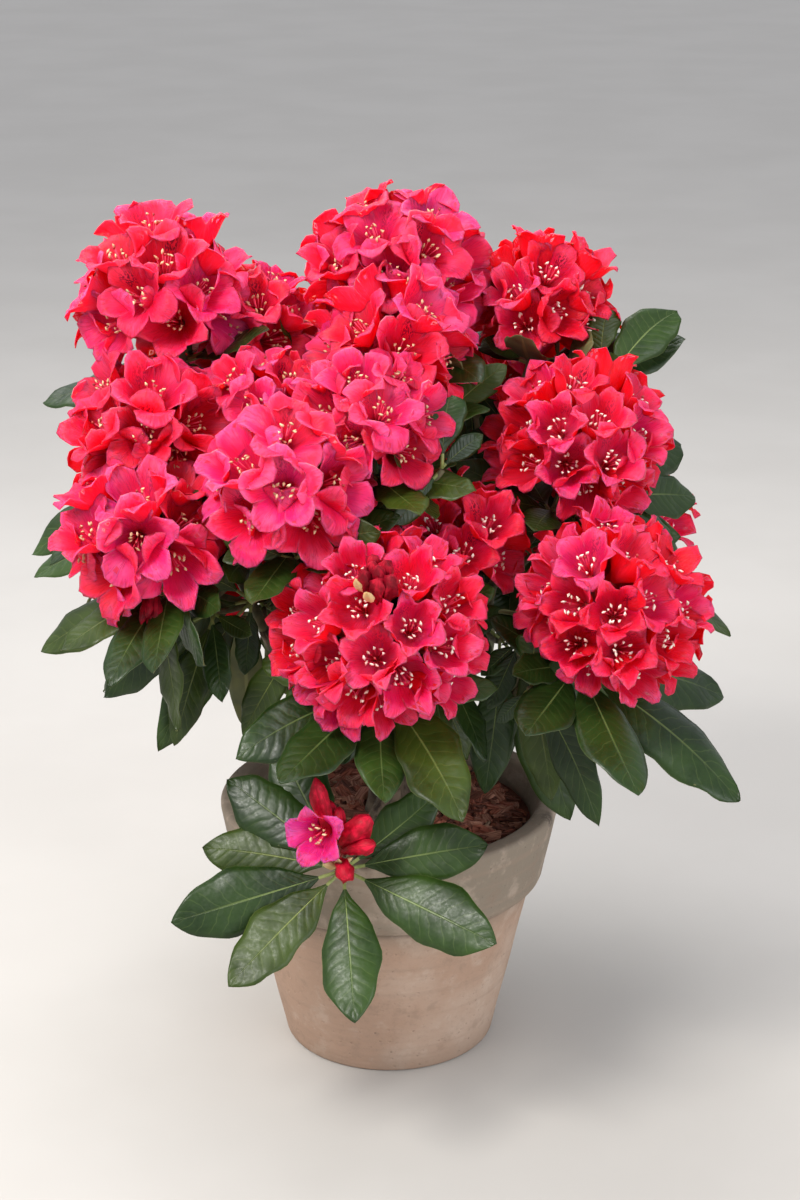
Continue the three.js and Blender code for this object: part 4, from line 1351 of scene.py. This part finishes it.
# Where the numbers of the side shoots start, so that their draws differ from those of the trusses.
FORKED_NUMBERS = 200
FORKED_PER_SHOOT = 4
KNOWN_NUMBERS = 400
KNOWN_PER_MASS = 8
KNOWN_SIDE_SHOOTS = {
    "left": [
        dict(at=(-135, -85, 402), toward=(-0.35, -0.5, 0.25), leaves=(200, 250, 285, 330), reach=0.8),
        dict(at=(-107, -60, 403), toward=(0.2, -0.9, 0.1), leaves=(90, 140, 185, 222, 265), reach=0.8),
    ],
    "front_left": [dict(at=(39, -90, 517), toward=(0.3, -0.9, 0.3), leaves=(45, 90, 225), reach=0.75)],
    "top": [
        dict(at=(40, -10, 534), toward=(0.1, -0.9, 0.3), leaves=(45, 225), reach=0.75),
        dict(at=(49, -20, 511), toward=(0.1, -0.9, 0.3), leaves=(66,), reach=0.75),
    ],
    "upper_right": [dict(at=(158, 62, 552), toward=(0.3, -0.8, 0.5), leaves=(92,), reach=0.95),
                    dict(at=(171, 45, 543), toward=(0.2, -0.85, 0.45), leaves=(60,), reach=0.86),
                    dict(at=(169, 60, 555), toward=(0.1, -0.9, 0.2), leaves=(90,), reach=0.6)],
    "right": [
        dict(at=(164, -30, 475), toward=(0.6, -0.6, 0.3), leaves=(-28, -8, 12, 42), reach=0.98),
        dict(at=(89, 30, 481), toward=(-0.3, -0.9, 0.2), leaves=(90, 135, 180, 225, 270), reach=0.75),
        dict(at=(93, 50, 513), toward=(-0.2, -0.9, 0.3), leaves=(205, 222), reach=0.75),
    ],
    "front": [
        dict(at=(-68, -100, 386), toward=(-0.4, -0.8, 0.2), leaves=(190, 235, 280, 320), reach=0.8),
        dict(at=(22, -90, 376), toward=(0.4, -0.8, 0.2), leaves=(-25, 15, 215, 300, 255), reach=0.85),
        dict(at=(73, -20, 372), toward=(0.2, -0.9, 0.1), leaves=(45, 225, 270), reach=0.7),
        dict(at=(77, 0, 373), toward=(0.1, -0.9, 0.2), leaves=(90,), reach=0.6),
    ],
    "lower_right": [
        dict(at=(87, -70, 364), toward=(0.2, -0.8, 0.1), leaves=(225, 265, 300, 190), reach=1),
        dict(at=(101, -90, 381), toward=(-0.2, -0.9, 0.1), leaves=(0, 225, 248, 290), reach=0.8),
    ],
    "back_upper_right": [dict(at=(68, 130, 524), toward=(0.1, -0.9, 0.2), leaves=(270, 315), reach=0.75),
                         dict(at=(69, 130, 451), toward=(0.1, -0.9, 0.2), leaves=(90,), reach=0.75)],
    "back_right": [dict(at=(92, 60, 324), toward=(-0.2, -0.9, 0.1), leaves=(135, 270, 315), reach=0.8)],
}


def side_shoot(mass_index, index, whorl, toward, leaves, reach, start):
    axis = unit(toward)
    across = unit(np.array([1, 0, 0]) - axis * axis[0])
    return dict(index=index, mass=mass_index, whorl=whorl, axis=axis, across=across,
                over=np.cross(axis, across), leaves=leaves, droop=SIDE_DROOP, reach=reach, turn=1,
                start=start)


def side_shoots_of(mass_index, name):
    """The side shoots of a mass. The low shoot in front of the pot has none."""
    made = []
    stem, twigs = growths[mass_index]
    if name == "low_front":
        twigs = []
    for shoot, twig in zip(shoots_of(mass_index), twigs):
        for i, share in enumerate(SIDE_SHARES):
            index = FORKED_NUMBERS + shoot["index"] * FORKED_PER_SHOOT + i
            start = twig.point(twig.even(share))
            bearing = 2 * math.pi * chance(index, KEY_SIDE_BEARING)
            toward = around(shoot, bearing) + shoot["axis"] * SIDE_RISE
            whorl = start + unit(toward) * SIDE_LENGTH * vary(SIDE_LENGTH_PLAY, index, KEY_SIDE_LENGTH)
            leaves = [360 * (k + 0.5 * chance(index, k, KEY_SIDE_LEAF)) / SIDE_LEAVES
                      for k in range(SIDE_LEAVES)]
            made.append(side_shoot(mass_index, index, whorl, toward, leaves, SIDE_REACH, start))
    for i, known in enumerate(KNOWN_SIDE_SHOOTS.get(name, [])):
        index = KNOWN_NUMBERS + mass_index * KNOWN_PER_MASS + i
        made.append(side_shoot(mass_index, index, np.array(known["at"], float), known["toward"],
                               known["leaves"], known["reach"], stem.point(1.0)))
    return made


SIDE_SHOOTS = [side_shoots_of(m, name) for m, name in enumerate(MASSES)]


def make_leaves(mass_index, name):
    """Each leaf takes the largest size and the freest droop that there is room for."""
    heap = Heap(f"leaves_{name}", [*LEAVES, UNDERSIDE, PETIOLE])
    for shoot in shoots_of(mass_index) + SIDE_SHOOTS[mass_index]:
        for number, bearing in enumerate(bearings_of(shoot)):
            for size, flex in LEAF_FITS:
                curve, aim, length = midrib(shoot, number, bearing, size, flex)
                if fits_in(*leaf_outline(shoot, curve, aim, length), mass_index, SPACE_MARGIN):
                    add_leaf(heap, shoot, number, curve, aim, length, size)
                    break
    return heap.finish()


# Flowers

FLOWER_FINISHES = [*PETALS["rose"], *PETALS["crimson"], *PETAL_BACKS.values(), MAGENTA, FILAMENT,
                   PALE_ANTHER, BUFF_ANTHER, PEDICEL, BUD, OLD_BUD, BUD_SCALE]
PETAL_TONES = len(PETALS["rose"])
(ROSE_BACK_SLOT, CRIMSON_BACK_SLOT, MAGENTA_SLOT, FILAMENT_SLOT, PALE_ANTHER_SLOT, BUFF_ANTHER_SLOT,
 STALK_SLOT, BUD_SLOT, OLD_BUD_SLOT, SCALE_SLOT) = range(6, 16)
LOBE_SEGMENTS = 8
COROLLA_STEPS = 14
COROLLA_FORM = Form(FLORET_LOBES * LOBE_SEGMENTS, COROLLA_STEPS, closed=False)
# The corners of the funnel in rows from the base outside, over the rim, to the base inside.
COROLLA_ORDER = np.lexsort((COROLLA_FORM.angle.round(5), COROLLA_FORM.along.round(5)))
COROLLA_ROWS = COROLLA_ORDER.reshape(COROLLA_STEPS + 1, -1)
# The funnel's profile from its base to a lobe's tip, as shares of its rim and its depth: of a wide
# open floret, and of one that is still a cup.
SPREAD_STATIONS = [0, 0.12, 0.25, 0.4, 0.55, 0.7, 0.85, 1, 1.08]
OPEN_RADII = [0.1, 0.15, 0.23, 0.36, 0.54, 0.73, 0.92, 1.1, 1.18]
OPEN_HEIGHTS = [-1, -0.84, -0.66, -0.44, -0.24, -0.08, 0.02, -0.02, -0.1]
CUP_RADII = [0.1, 0.18, 0.34, 0.52, 0.64, 0.69, 0.73, 0.86, 1.06]
CUP_HEIGHTS = [-1, -0.86, -0.66, -0.42, -0.14, 0.14, 0.42, 0.6, 0.58]
# How far along the funnel each row of corners lies: the last one before the rim is close to it.
PETAL_ROWS = [0, 0.16, 0.33, 0.5, 0.66, 0.82, 0.96, 1]
PETAL_THICKNESS = 0.7
# The rim of a lobe: the notch beside it, which is deeper in an open floret, how full its outline
# is, and the small point in its middle.
LOBE_NOTCH = 0.6
OPEN_NOTCH = 0.08
LOBE_FULLNESS = (1.2, 1.1)
LOBE_ROUNDNESS = 0.7
LOBE_POINT = 0.2
LOBE_POINT_HALF = 0.5
LOBE_OVERLAP = 0.4
RIM_STRETCH = 1.18
# How each lobe strays: its length, how far it opens, and its turn about the floret's axis.
LENGTH_TILT = 0.06
OPEN_TILT = 0.8
TURN_TILT = 0.12
# The waves of the petals, in millimetres on a floret of this size.
RUFFLED_SIZE = 60
WAVE_HEIGHT, WAVE_PACE = 2.2, 2.2
FINE_WAVE_HEIGHT, FINE_WAVE_ALONG, FINE_WAVE_ACROSS = 1.3, 13, 5
CRIMP_HEIGHT, CRIMP_PACE = 1.5, 3.6
CURL_HEIGHT = 6
# The crease down each lobe, its flare at the rim, and the step where it laps over the next one.
CREASE_DEPTH, CREASE_WIDTH = 1.7, 0.2
FLARE = 5
FLARE_OUT = 0.6
OVERLAP_STEP = 2.4
# The relief moves an open floret's petals along its axis, and a cup's outwards.
LEAST_SHARE, MORE_SHARE = 0.35, 0.65

STAMENS = 9
STAMEN_RING = 13
STAMEN_FOOT = 0.86
STAMEN_FOOT_RADIUS = 1.2
STAMEN_PLAY = 0.8
FILAMENT_RADII = (0.55, 0.42)
ANTHER_HALF, ANTHER_HALF_PLAY = 1.5, 0.7
STYLE_REACH = 0.12
STYLE_RADII = (0.7, 0.55)
STIGMA_RADIUS, STIGMA_LENGTH = 1.1, 1.8
STALK_SAG = 2.0


def rows_of(fold):
    return np.interp(fold, np.linspace(0, 1, len(PETAL_ROWS)), PETAL_ROWS)


def between_shapes(s, cup, spread, mix):
    """A cup's profile at s, as far as mix on its way to that of a spread floret."""
    return np.interp(s, SPREAD_STATIONS, cup) * (1 - mix) + np.interp(s, SPREAD_STATIONS, spread) * mix


def corolla_places(place, turn, openness, key):
    """The corners of a funnel of five wavy lobes that overlap, each with its own tilt and curl."""
    size, aim = place["size"], place["aim"]
    across, over = ring_around(aim)
    form = COROLLA_FORM
    fold = 1 - np.abs(2 * form.along - 1)
    lobes = form.angle / (2 * math.pi) * FLORET_LOBES
    lobe = np.floor(lobes + 1e-6).astype(int) % FLORET_LOBES
    t = (lobes - np.floor(lobes + 1e-6)) * 2 - 1
    t = np.where(t < -0.999, -1, t)
    play, tilt, curl, phase = (np.array([chance(key, k, kind) for k in range(FLORET_LOBES)])[lobe]
                               for kind in (KEY_LOBE_PLAY, KEY_LOBE_TILT, KEY_LOBE_CURL, KEY_LOBE_PHASE))
    tilt, curl, phase = tilt - 0.5, curl - 0.6, 2 * math.pi * phase
    seam = 1 - np.abs(t) ** 6
    notch = LOBE_NOTCH - OPEN_NOTCH * openness
    fullness = LOBE_FULLNESS[0] + LOBE_FULLNESS[1] * play
    outline = notch + (1 - notch) * np.clip(1 - np.abs(t) ** fullness, 0, 1) ** LOBE_ROUNDNESS
    point = LOBE_POINT * np.clip(1 - np.abs(t) / LOBE_POINT_HALF, 0, 1) * (1.15 - play)
    s = rows_of(fold) * (outline * (1 + LENGTH_TILT * tilt * seam) + point)
    far = smooth(0.5, 1, s)
    mix = np.clip(openness + OPEN_TILT * tilt * seam, -0.1, 1.3)
    radius = between_shapes(s, CUP_RADII, OPEN_RADII, mix) * FLORET_RIM * size * RIM_STRETCH
    height = between_shapes(s, CUP_HEIGHTS, OPEN_HEIGHTS, mix) * FLORET_DEPTH * size
    wave = WAVE_HEIGHT * np.sin(WAVE_PACE * math.pi * t + phase)
    wave = wave + FINE_WAVE_HEIGHT * np.sin(FINE_WAVE_ALONG * s + 2 * phase + FINE_WAVE_ACROSS * t)
    crimp = CRIMP_HEIGHT * np.sin(CRIMP_PACE * math.pi * t + 2 * phase) * np.abs(t) ** 0.5
    ruffle = far * seam * (wave + crimp + CURL_HEIGHT * curl * (t ** 2 - 0.25)) * size / RUFFLED_SIZE
    crease = CREASE_DEPTH * np.exp(-(t / CREASE_WIDTH) ** 2) * smooth(0.3, 0.75, s)
    flare = FLARE * smooth(0.8, 1.05, s) * (play - 0.3)
    relief = ruffle - crease + OVERLAP_STEP * far * seam * t
    height = height + relief * (LEAST_SHARE + MORE_SHARE * mix) - flare
    radius = radius + relief * MORE_SHARE * (1 - mix) + flare * FLARE_OUT
    wider = t * (math.pi / FLORET_LOBES) * LOBE_OVERLAP * smooth(0.5, 0.8, s) * seam
    angle = form.angle + wider + turn + TURN_TILT * tilt * far
    places = (place["mouth"] + aim * height[:, None] + across * (radius * np.cos(angle))[:, None]
              + over * (radius * np.sin(angle))[:, None])
    return thickened(places)


def thickened(places):
    """The two sides of the petals, moved apart along their own normals, but not at the rim."""
    rows = places[COROLLA_ROWS]
    around_it = np.roll(rows, -1, axis=1) - np.roll(rows, 1, axis=1)
    normals = np.cross(around_it, np.gradient(rows, axis=0))
    normals /= np.maximum(np.linalg.norm(normals, axis=2, keepdims=True), 1e-6)
    share = np.full(len(rows), 0.5 * PETAL_THICKNESS)
    share[len(rows) // 2] = 0
    moved = rows + normals * share[:, None, None]
    result = places.copy()
    result[COROLLA_ROWS] = moved
    return result


def add_floret(heap, place, turn, openness, key, petal_slot, back_slot, anther_slot):
    """A funnel of petals with its stalk, its stamens and a style."""
    form = COROLLA_FORM
    aim, mouth, size = place["aim"], place["mouth"], place["size"]
    across, over = ring_around(aim)
    depth = FLORET_DEPTH * size
    fold = 1 - np.abs(2 * form.along - 1)
    pattern = np.stack([form.turns, rows_of(fold)[form.corners]], axis=1)
    slots = np.where(form.middle_along > 0.5, petal_slot, back_slot)
    heap.add(form, corolla_places(place, turn, openness, key), pattern, slots)
    base = mouth - aim * depth * 0.98
    stalk = Bezier(place["root"], (place["root"] + base) / 2 - np.array([0, 0, STALK_SAG]), base)
    add_tube(heap, STALK_FORM, stalk, lambda along: 1.1 + 1.5 * smooth(0.8, 1, along), STALK_SLOT)
    foot = mouth - aim * depth * STAMEN_FOOT
    for k in range(STAMENS):
        phi = turn + 2 * math.pi * (k + STAMEN_PLAY * chance(key, k, KEY_STAMEN_BEARING)) / STAMENS
        out = across * math.cos(phi) + over * math.sin(phi)
        spread = 0.5 * STAMEN_RING * (0.7 + 0.6 * chance(key, k, KEY_STAMEN_SPREAD))
        tip = mouth + out * spread + aim * depth * (0.35 * chance(key, k, KEY_STAMEN_TIP) - 0.25)
        start = foot + out * STAMEN_FOOT_RADIUS
        add_tube(heap, FILAMENT_FORM, Bezier(start, tip), taper(*FILAMENT_RADII), FILAMENT_SLOT)
        side = unit(across * (chance(key, k, KEY_ANTHER_ACROSS) - 0.5)
                    + over * (chance(key, k, KEY_ANTHER_OVER) - 0.5) + 0.2 * aim)
        half = ANTHER_HALF + ANTHER_HALF_PLAY * chance(key, k, KEY_ANTHER_LENGTH)
        add_tube(heap, ANTHER_FORM, Bezier(tip - side * half, tip + side * half),
                 lambda along: 0.4 + 1.0 * np.sin(math.pi * along), anther_slot)
    style_tip = mouth + aim * depth * STYLE_REACH
    add_tube(heap, FILAMENT_FORM, Bezier(foot, mouth - aim * depth * 0.2, style_tip), taper(*STYLE_RADII),
             FILAMENT_SLOT)
    add_tube(heap, ANTHER_FORM, Bezier(style_tip, style_tip + aim * STIGMA_LENGTH),
             taper(STIGMA_RADIUS, STIGMA_RADIUS), STALK_SLOT)


BUD_STATIONS = [0, 0.12, 0.35, 0.6, 0.82, 0.94, 1]
BUD_SHAPE = [0.24, 0.42, 0.78, 1, 0.84, 0.5, 0.12]
BUD_BEND = 0.06
FURL_TURNS = 6
CRUMPLE_ROUND = 2
CRUMPLE_ALONG = 5
CRUMPLE_SHARE = 1.2


def add_bud(heap, root, tip, width, slot, key, wrinkle):
    """A closed bud: its lobes are furled round each other, and wrinkled."""
    form = BUD_FORM
    bend = BUD_BEND * np.linalg.norm(tip - root) * np.array([chance(key, KEY_BUD_BEND) - 0.5, 0, 0.3])
    curve = Bezier(root, (root + tip) / 2 + bend, tip)
    shape = np.interp(form.along, BUD_STATIONS, BUD_SHAPE)
    phase = PHASE_SPAN * chance(key, KEY_BUD_FURL)
    furl = 1 + wrinkle * np.sin(FLORET_LOBES * form.angle + FURL_TURNS * form.along + phase)
    crumple = 1 + CRUMPLE_SHARE * wrinkle * noise_round(form, CRUMPLE_ROUND, CRUMPLE_ALONG, key)
    add_tube(heap, form, curve, lambda along: 0.5 * width * shape, slot, furl * crumple)


def add_scale(heap, root, tip, width, slot, key):
    """A small papery scale that is cupped round a bud."""
    form = BUD_FORM
    curve = Bezier(root, (root + tip) / 2 + np.array([0, -0.15, 0.1]) * np.linalg.norm(tip - root), tip)
    shape = np.interp(form.along, [0, 0.3, 0.7, 1], [0.5, 1, 0.8, 0.08])
    flat = 0.35 + 0.65 * np.abs(np.cos(form.angle + PHASE_SPAN * chance(key, KEY_SCALE_TURN)))
    add_tube(heap, form, curve, lambda along: 0.5 * width * shape, slot, flat)


# The half open truss of the low shoot: one open flower, and buds of several sizes round it.
LOW_FLOWER = dict(mouth=(-52, -216, 276), faces=(-0.35, -0.9, 0.12), size=44, openness=0.55)
LOW_BUDS = [
    dict(root=(-41, -200, 262), tip=(-53, -204, 317), width=15),
    dict(root=(-35, -204, 262), tip=(-13, -216, 291), width=19),
    dict(root=(-34, -206, 258), tip=(-9, -219, 271), width=14),
    dict(root=(-37, -202, 266), tip=(-36, -198, 291), width=12),
    dict(root=(-35, -206, 252), tip=(-30, -235, 250), width=15),
    dict(root=(-38, -196, 264), tip=(-44, -188, 292), width=11),
]
LOW_SCALES = [
    dict(root=(-38, -206, 246), tip=(-48, -218, 254), width=9),
    dict(root=(-36, -208, 246), tip=(-36, -222, 260), width=8),
    dict(root=(-34, -204, 247), tip=(-26, -214, 257), width=8),
]
# The unopened buds at the crown of the front truss: how many, which way they point, how near to that
# a floret would be in their way, and their shape.
TOP_BUDS = 7
BUD_CROWN = unit([-0.01, -0.62, 0.79])
BUD_CLEARANCE = 0.98
CROWN_HEIGHT = 1.03
CROWN_STEP = 3.4
CROWN_SPLAY = 1.6
CROWN_BUD_LENGTH, CROWN_BUD_LENGTH_PLAY = 31, 10
CROWN_BUD_WIDTH, CROWN_BUD_WIDTH_PLAY = 11, 3
CROWN_SCALES = [dict(bearing=3.4, up=14, out=12), dict(bearing=4.3, up=16, out=14)]
# Where the numbers of the flowers and buds that stand apart start.
LOW_FLOWER_NUMBER = 978
LOW_BUD_NUMBERS = 910
LOW_SCALE_NUMBERS = 930
CROWN_BUD_NUMBERS = 940
CROWN_SCALE_NUMBERS = 960
HANGING_BUD_NUMBERS = 970
# A small cluster of withered buds under the left truss.
HANGING_BUDS = [
    dict(root=(-176, -114, 434), tip=(-180, -130, 414), width=8),
    dict(root=(-174, -114, 432), tip=(-173, -129, 411), width=8),
    dict(root=(-178, -114, 432), tip=(-185, -127, 408), width=7),
    dict(root=(-176, -114, 430), tip=(-178, -129, 403), width=7),
    dict(root=(-175, -114, 430), tip=(-172, -126, 402), width=6),
]


def ends_of(bud):
    return np.array(bud["root"], float), np.array(bud["tip"], float)


def add_low_truss(heap, shoot):
    """The open flower of the low shoot, the buds round it on their stalks, and their scales."""
    aim = unit(LOW_FLOWER["faces"])
    mouth = np.array(LOW_FLOWER["mouth"], float)
    place = dict(root=shoot["heart"] + shoot["axis"] * 5, mouth=mouth, aim=aim, size=LOW_FLOWER["size"])
    add_floret(heap, place, upper_turn(aim, shoot, 0), LOW_FLOWER["openness"], LOW_FLOWER_NUMBER,
               MAGENTA_SLOT, ROSE_BACK_SLOT, BUFF_ANTHER_SLOT)
    for i, bud in enumerate(LOW_BUDS):
        root, tip = ends_of(bud)
        add_tube(heap, STALK_FORM, Bezier(shoot["heart"] + shoot["axis"] * 4, root + unit(tip - root)),
                 taper(1.2, 1.6), STALK_SLOT)
        add_bud(heap, root, tip, bud["width"], BUD_SLOT, LOW_BUD_NUMBERS + i, 0.2)
    for i, scale in enumerate(LOW_SCALES):
        add_scale(heap, *ends_of(scale), scale["width"], SCALE_SLOT, LOW_SCALE_NUMBERS + i)


def add_top_buds(heap, shoot):
    """The unopened buds at the crown of the front truss, and the papery scales beside them."""
    foot = shoot["heart"] + BUD_CROWN * CROWN_HEIGHT * shoot["radius"]
    across, over = ring_around(BUD_CROWN)
    for i in range(TOP_BUDS):
        turn = i * GOLDEN_ANGLE
        beside = (across * math.cos(turn) + over * math.sin(turn)) * math.sqrt(i)
        root = foot + beside * CROWN_STEP
        length = CROWN_BUD_LENGTH + CROWN_BUD_LENGTH_PLAY * chance(i, KEY_BUD_LENGTH)
        width = CROWN_BUD_WIDTH + CROWN_BUD_WIDTH_PLAY * chance(i, KEY_BUD_WIDTH)
        tip = root + BUD_CROWN * length + beside * CROWN_SPLAY
        add_bud(heap, root, tip, width, OLD_BUD_SLOT, CROWN_BUD_NUMBERS + i, 0.3)
        add_tube(heap, STALK_FORM, Bezier(shoot["heart"], root + BUD_CROWN * 2), taper(1.4, 1.2), STALK_SLOT)
    for i, scale in enumerate(CROWN_SCALES):
        out = across * math.cos(scale["bearing"]) + over * math.sin(scale["bearing"])
        root = foot + BUD_CROWN * scale["up"] + out * scale["out"]
        add_scale(heap, root, root + BUD_CROWN * 17 + out * 4, 9, SCALE_SLOT, CROWN_SCALE_NUMBERS + i)


def upper_turn(aim, shoot, turn):
    """The turn that brings the first lobe nearest to the truss's crown, in fifths of a circle."""
    across, over = ring_around(aim)
    top = shoot["axis"] + np.array([0, 0, 0.8])
    wanted = math.atan2(top @ over, top @ across) - math.pi / FLORET_LOBES
    fifth = 2 * math.pi / FLORET_LOBES
    return turn + round((wanted - turn) / fifth) * fifth


# How florets differ: how far they open, how large they are, which way they nod, and how far out
# they stand. A less open floret stands further in.
OPENNESS_PLAY = 0.5
WIDEST_OPEN = 1.1
LEAST_SIZE, MORE_SIZE = 0.94, 0.14
NOD_CENTRES = (0.5, 0.5, 0.65)
FORWARD_PLAY = 7
FORWARD_START = 3


def dress_floret(heap, shoot, number, place, turn):
    """The floret that stands at a place on the solids' truss, in its own size, pose and colour."""
    key = shoot["index"] * 100 + number
    openness = np.clip(shoot["open"] + OPENNESS_PLAY * (chance(key, KEY_OPENNESS) - 0.5), 0, WIDEST_OPEN)
    # The rose set is partly painted sunlight, the crimson set partly painted shade.
    rose = shoot["tone"] == "rose"
    petals = int(PETAL_TONES * chance(key, KEY_PETAL_TONE)) + (0 if rose else PETAL_TONES)
    turn = upper_turn(place["aim"], shoot, turn)
    place["size"] *= LEAST_SIZE + MORE_SIZE * chance(key, KEY_FLORET_SIZE)
    nod = [chance(key, draw) - centre for draw, centre in zip(KEYS_NOD, NOD_CENTRES)]
    place["aim"] = unit(place["aim"] + FLORET_NOD * np.array(nod))
    forward = FORWARD_PLAY * chance(key, KEY_MOUTH) - FORWARD_START - FORWARD_PLAY * (1 - openness)
    place["mouth"] = place["mouth"] + place["aim"] * forward
    add_floret(heap, place, turn, openness, key, petals, ROSE_BACK_SLOT if rose else CRIMSON_BACK_SLOT,
               BUFF_ANTHER_SLOT if rose else PALE_ANTHER_SLOT)


def make_flowers(mass_index, name):
    """Each floret takes the largest truss that there is room for, unless buds stand in its place."""
    heap = Heap(f"flowers_{name}", FLOWER_FINISHES)
    for shoot in shoots_of(mass_index):
        if name == "low_front":
            add_low_truss(heap, shoot)
        for number in range(shoot["florets"]):
            for share in FLORET_FITS:
                place = floret_place(shoot, number, share)
                turn = 2 * math.pi * chance(shoot["index"], number, KEY_TURN)
                if fits_in(*floret_outline(place, turn), mass_index, PETAL_MARGIN):
                    if not (shoot["budded"] and place["aim"] @ BUD_CROWN > BUD_CLEARANCE):
                        dress_floret(heap, shoot, number, place, turn)
                    break
        if shoot["budded"]:
            add_top_buds(heap, shoot)
    if name == "left":
        for i, bud in enumerate(HANGING_BUDS):
            add_bud(heap, *ends_of(bud), bud["width"], OLD_BUD_SLOT, HANGING_BUD_NUMBERS + i, 0.24)
    return heap.finish()


# The whole plant

def place(piece, slot, *nodes):
    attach(piece, "root")
    if nodes:
        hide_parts(*nodes)


place(make_pot(), "clay", "pot")
place(make_chips(), "mulch")
place(make_limbs(), "bark", "main_stem", *[f"bough_{name}" for name in MASSES])
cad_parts["bark_mulch"].data.materials.clear()
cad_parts["bark_mulch"].data.materials.append(CHIPS[0])
for mass_index, name in enumerate(MASSES):
    place(make_twigs(mass_index, name), "bark")
    place(make_leaves(mass_index, name), "leaves")
    place(make_flowers(mass_index, name), "petals", f"mass_{name}")


# The floor, the lights and the camera, in metres

FLOOR_HALF = 24
PLANT_MIDDLE = (0, 0, 0.4)
CAMERA_PLACE = (0.009, -1.81, 1.04)
CAMERA_PITCH = 70
CAMERA_LENS = 72
SENSOR_HEIGHT = 36


def make_floor():
    bm = bmesh.new()
    bmesh.ops.create_grid(bm, x_segments=2, y_segments=2, size=FLOOR_HALF)
    floor = new_piece("studio_floor", bm, plain_finish(
        "studio_floor_paint", (0.5, 0.475, 0.44, 1), (0.53, 0.505, 0.47, 1), 3, 0.85, 0.95, 0.1))


def add_light(name, spot, size, power, colour):
    """A square soft light that points at the middle of the plant."""
    lamp = bpy.data.lights.new(name, "AREA")
    lamp.size = size
    lamp.energy = power
    lamp.color = colour
    light = bpy.data.objects.new(name, lamp)
    light.location = spot
    light.rotation_euler = (Vector(PLANT_MIDDLE) - Vector(spot)).to_track_quat("-Z", "Y").to_euler()
    bpy.context.scene.collection.objects.link(light)


def make_camera():
    lens = bpy.data.cameras.new("camera")
    lens.sensor_fit = "VERTICAL"
    lens.sensor_height = SENSOR_HEIGHT
    lens.lens = CAMERA_LENS
    camera = bpy.data.objects.new("camera", lens)
    camera.location = CAMERA_PLACE
    camera.rotation_euler = (math.radians(CAMERA_PITCH), 0, 0)
    bpy.context.scene.collection.objects.link(camera)
    bpy.context.scene.camera = camera


make_floor()
make_camera()
add_light("key_light", (-1.1, -1.3, 2.1), 0.8, 56, (1, 0.97, 0.93))
add_light("fill_light", (1.6, -1.9, 1.0), 1.6, 28, (0.95, 0.97, 1))
add_light("top_light", (-0.5, 0.8, 2.1), 1.5, 32, (1, 1, 1))
world = bpy.context.scene.world or bpy.data.worlds.new("studio")
bpy.context.scene.world = world
world.use_nodes = True
world.node_tree.nodes["Background"].inputs["Color"].default_value = (0.9, 0.93, 1, 1)
world.node_tree.nodes["Background"].inputs["Strength"].default_value = 0.8
bpy.context.scene.view_settings.view_transform = "Standard"
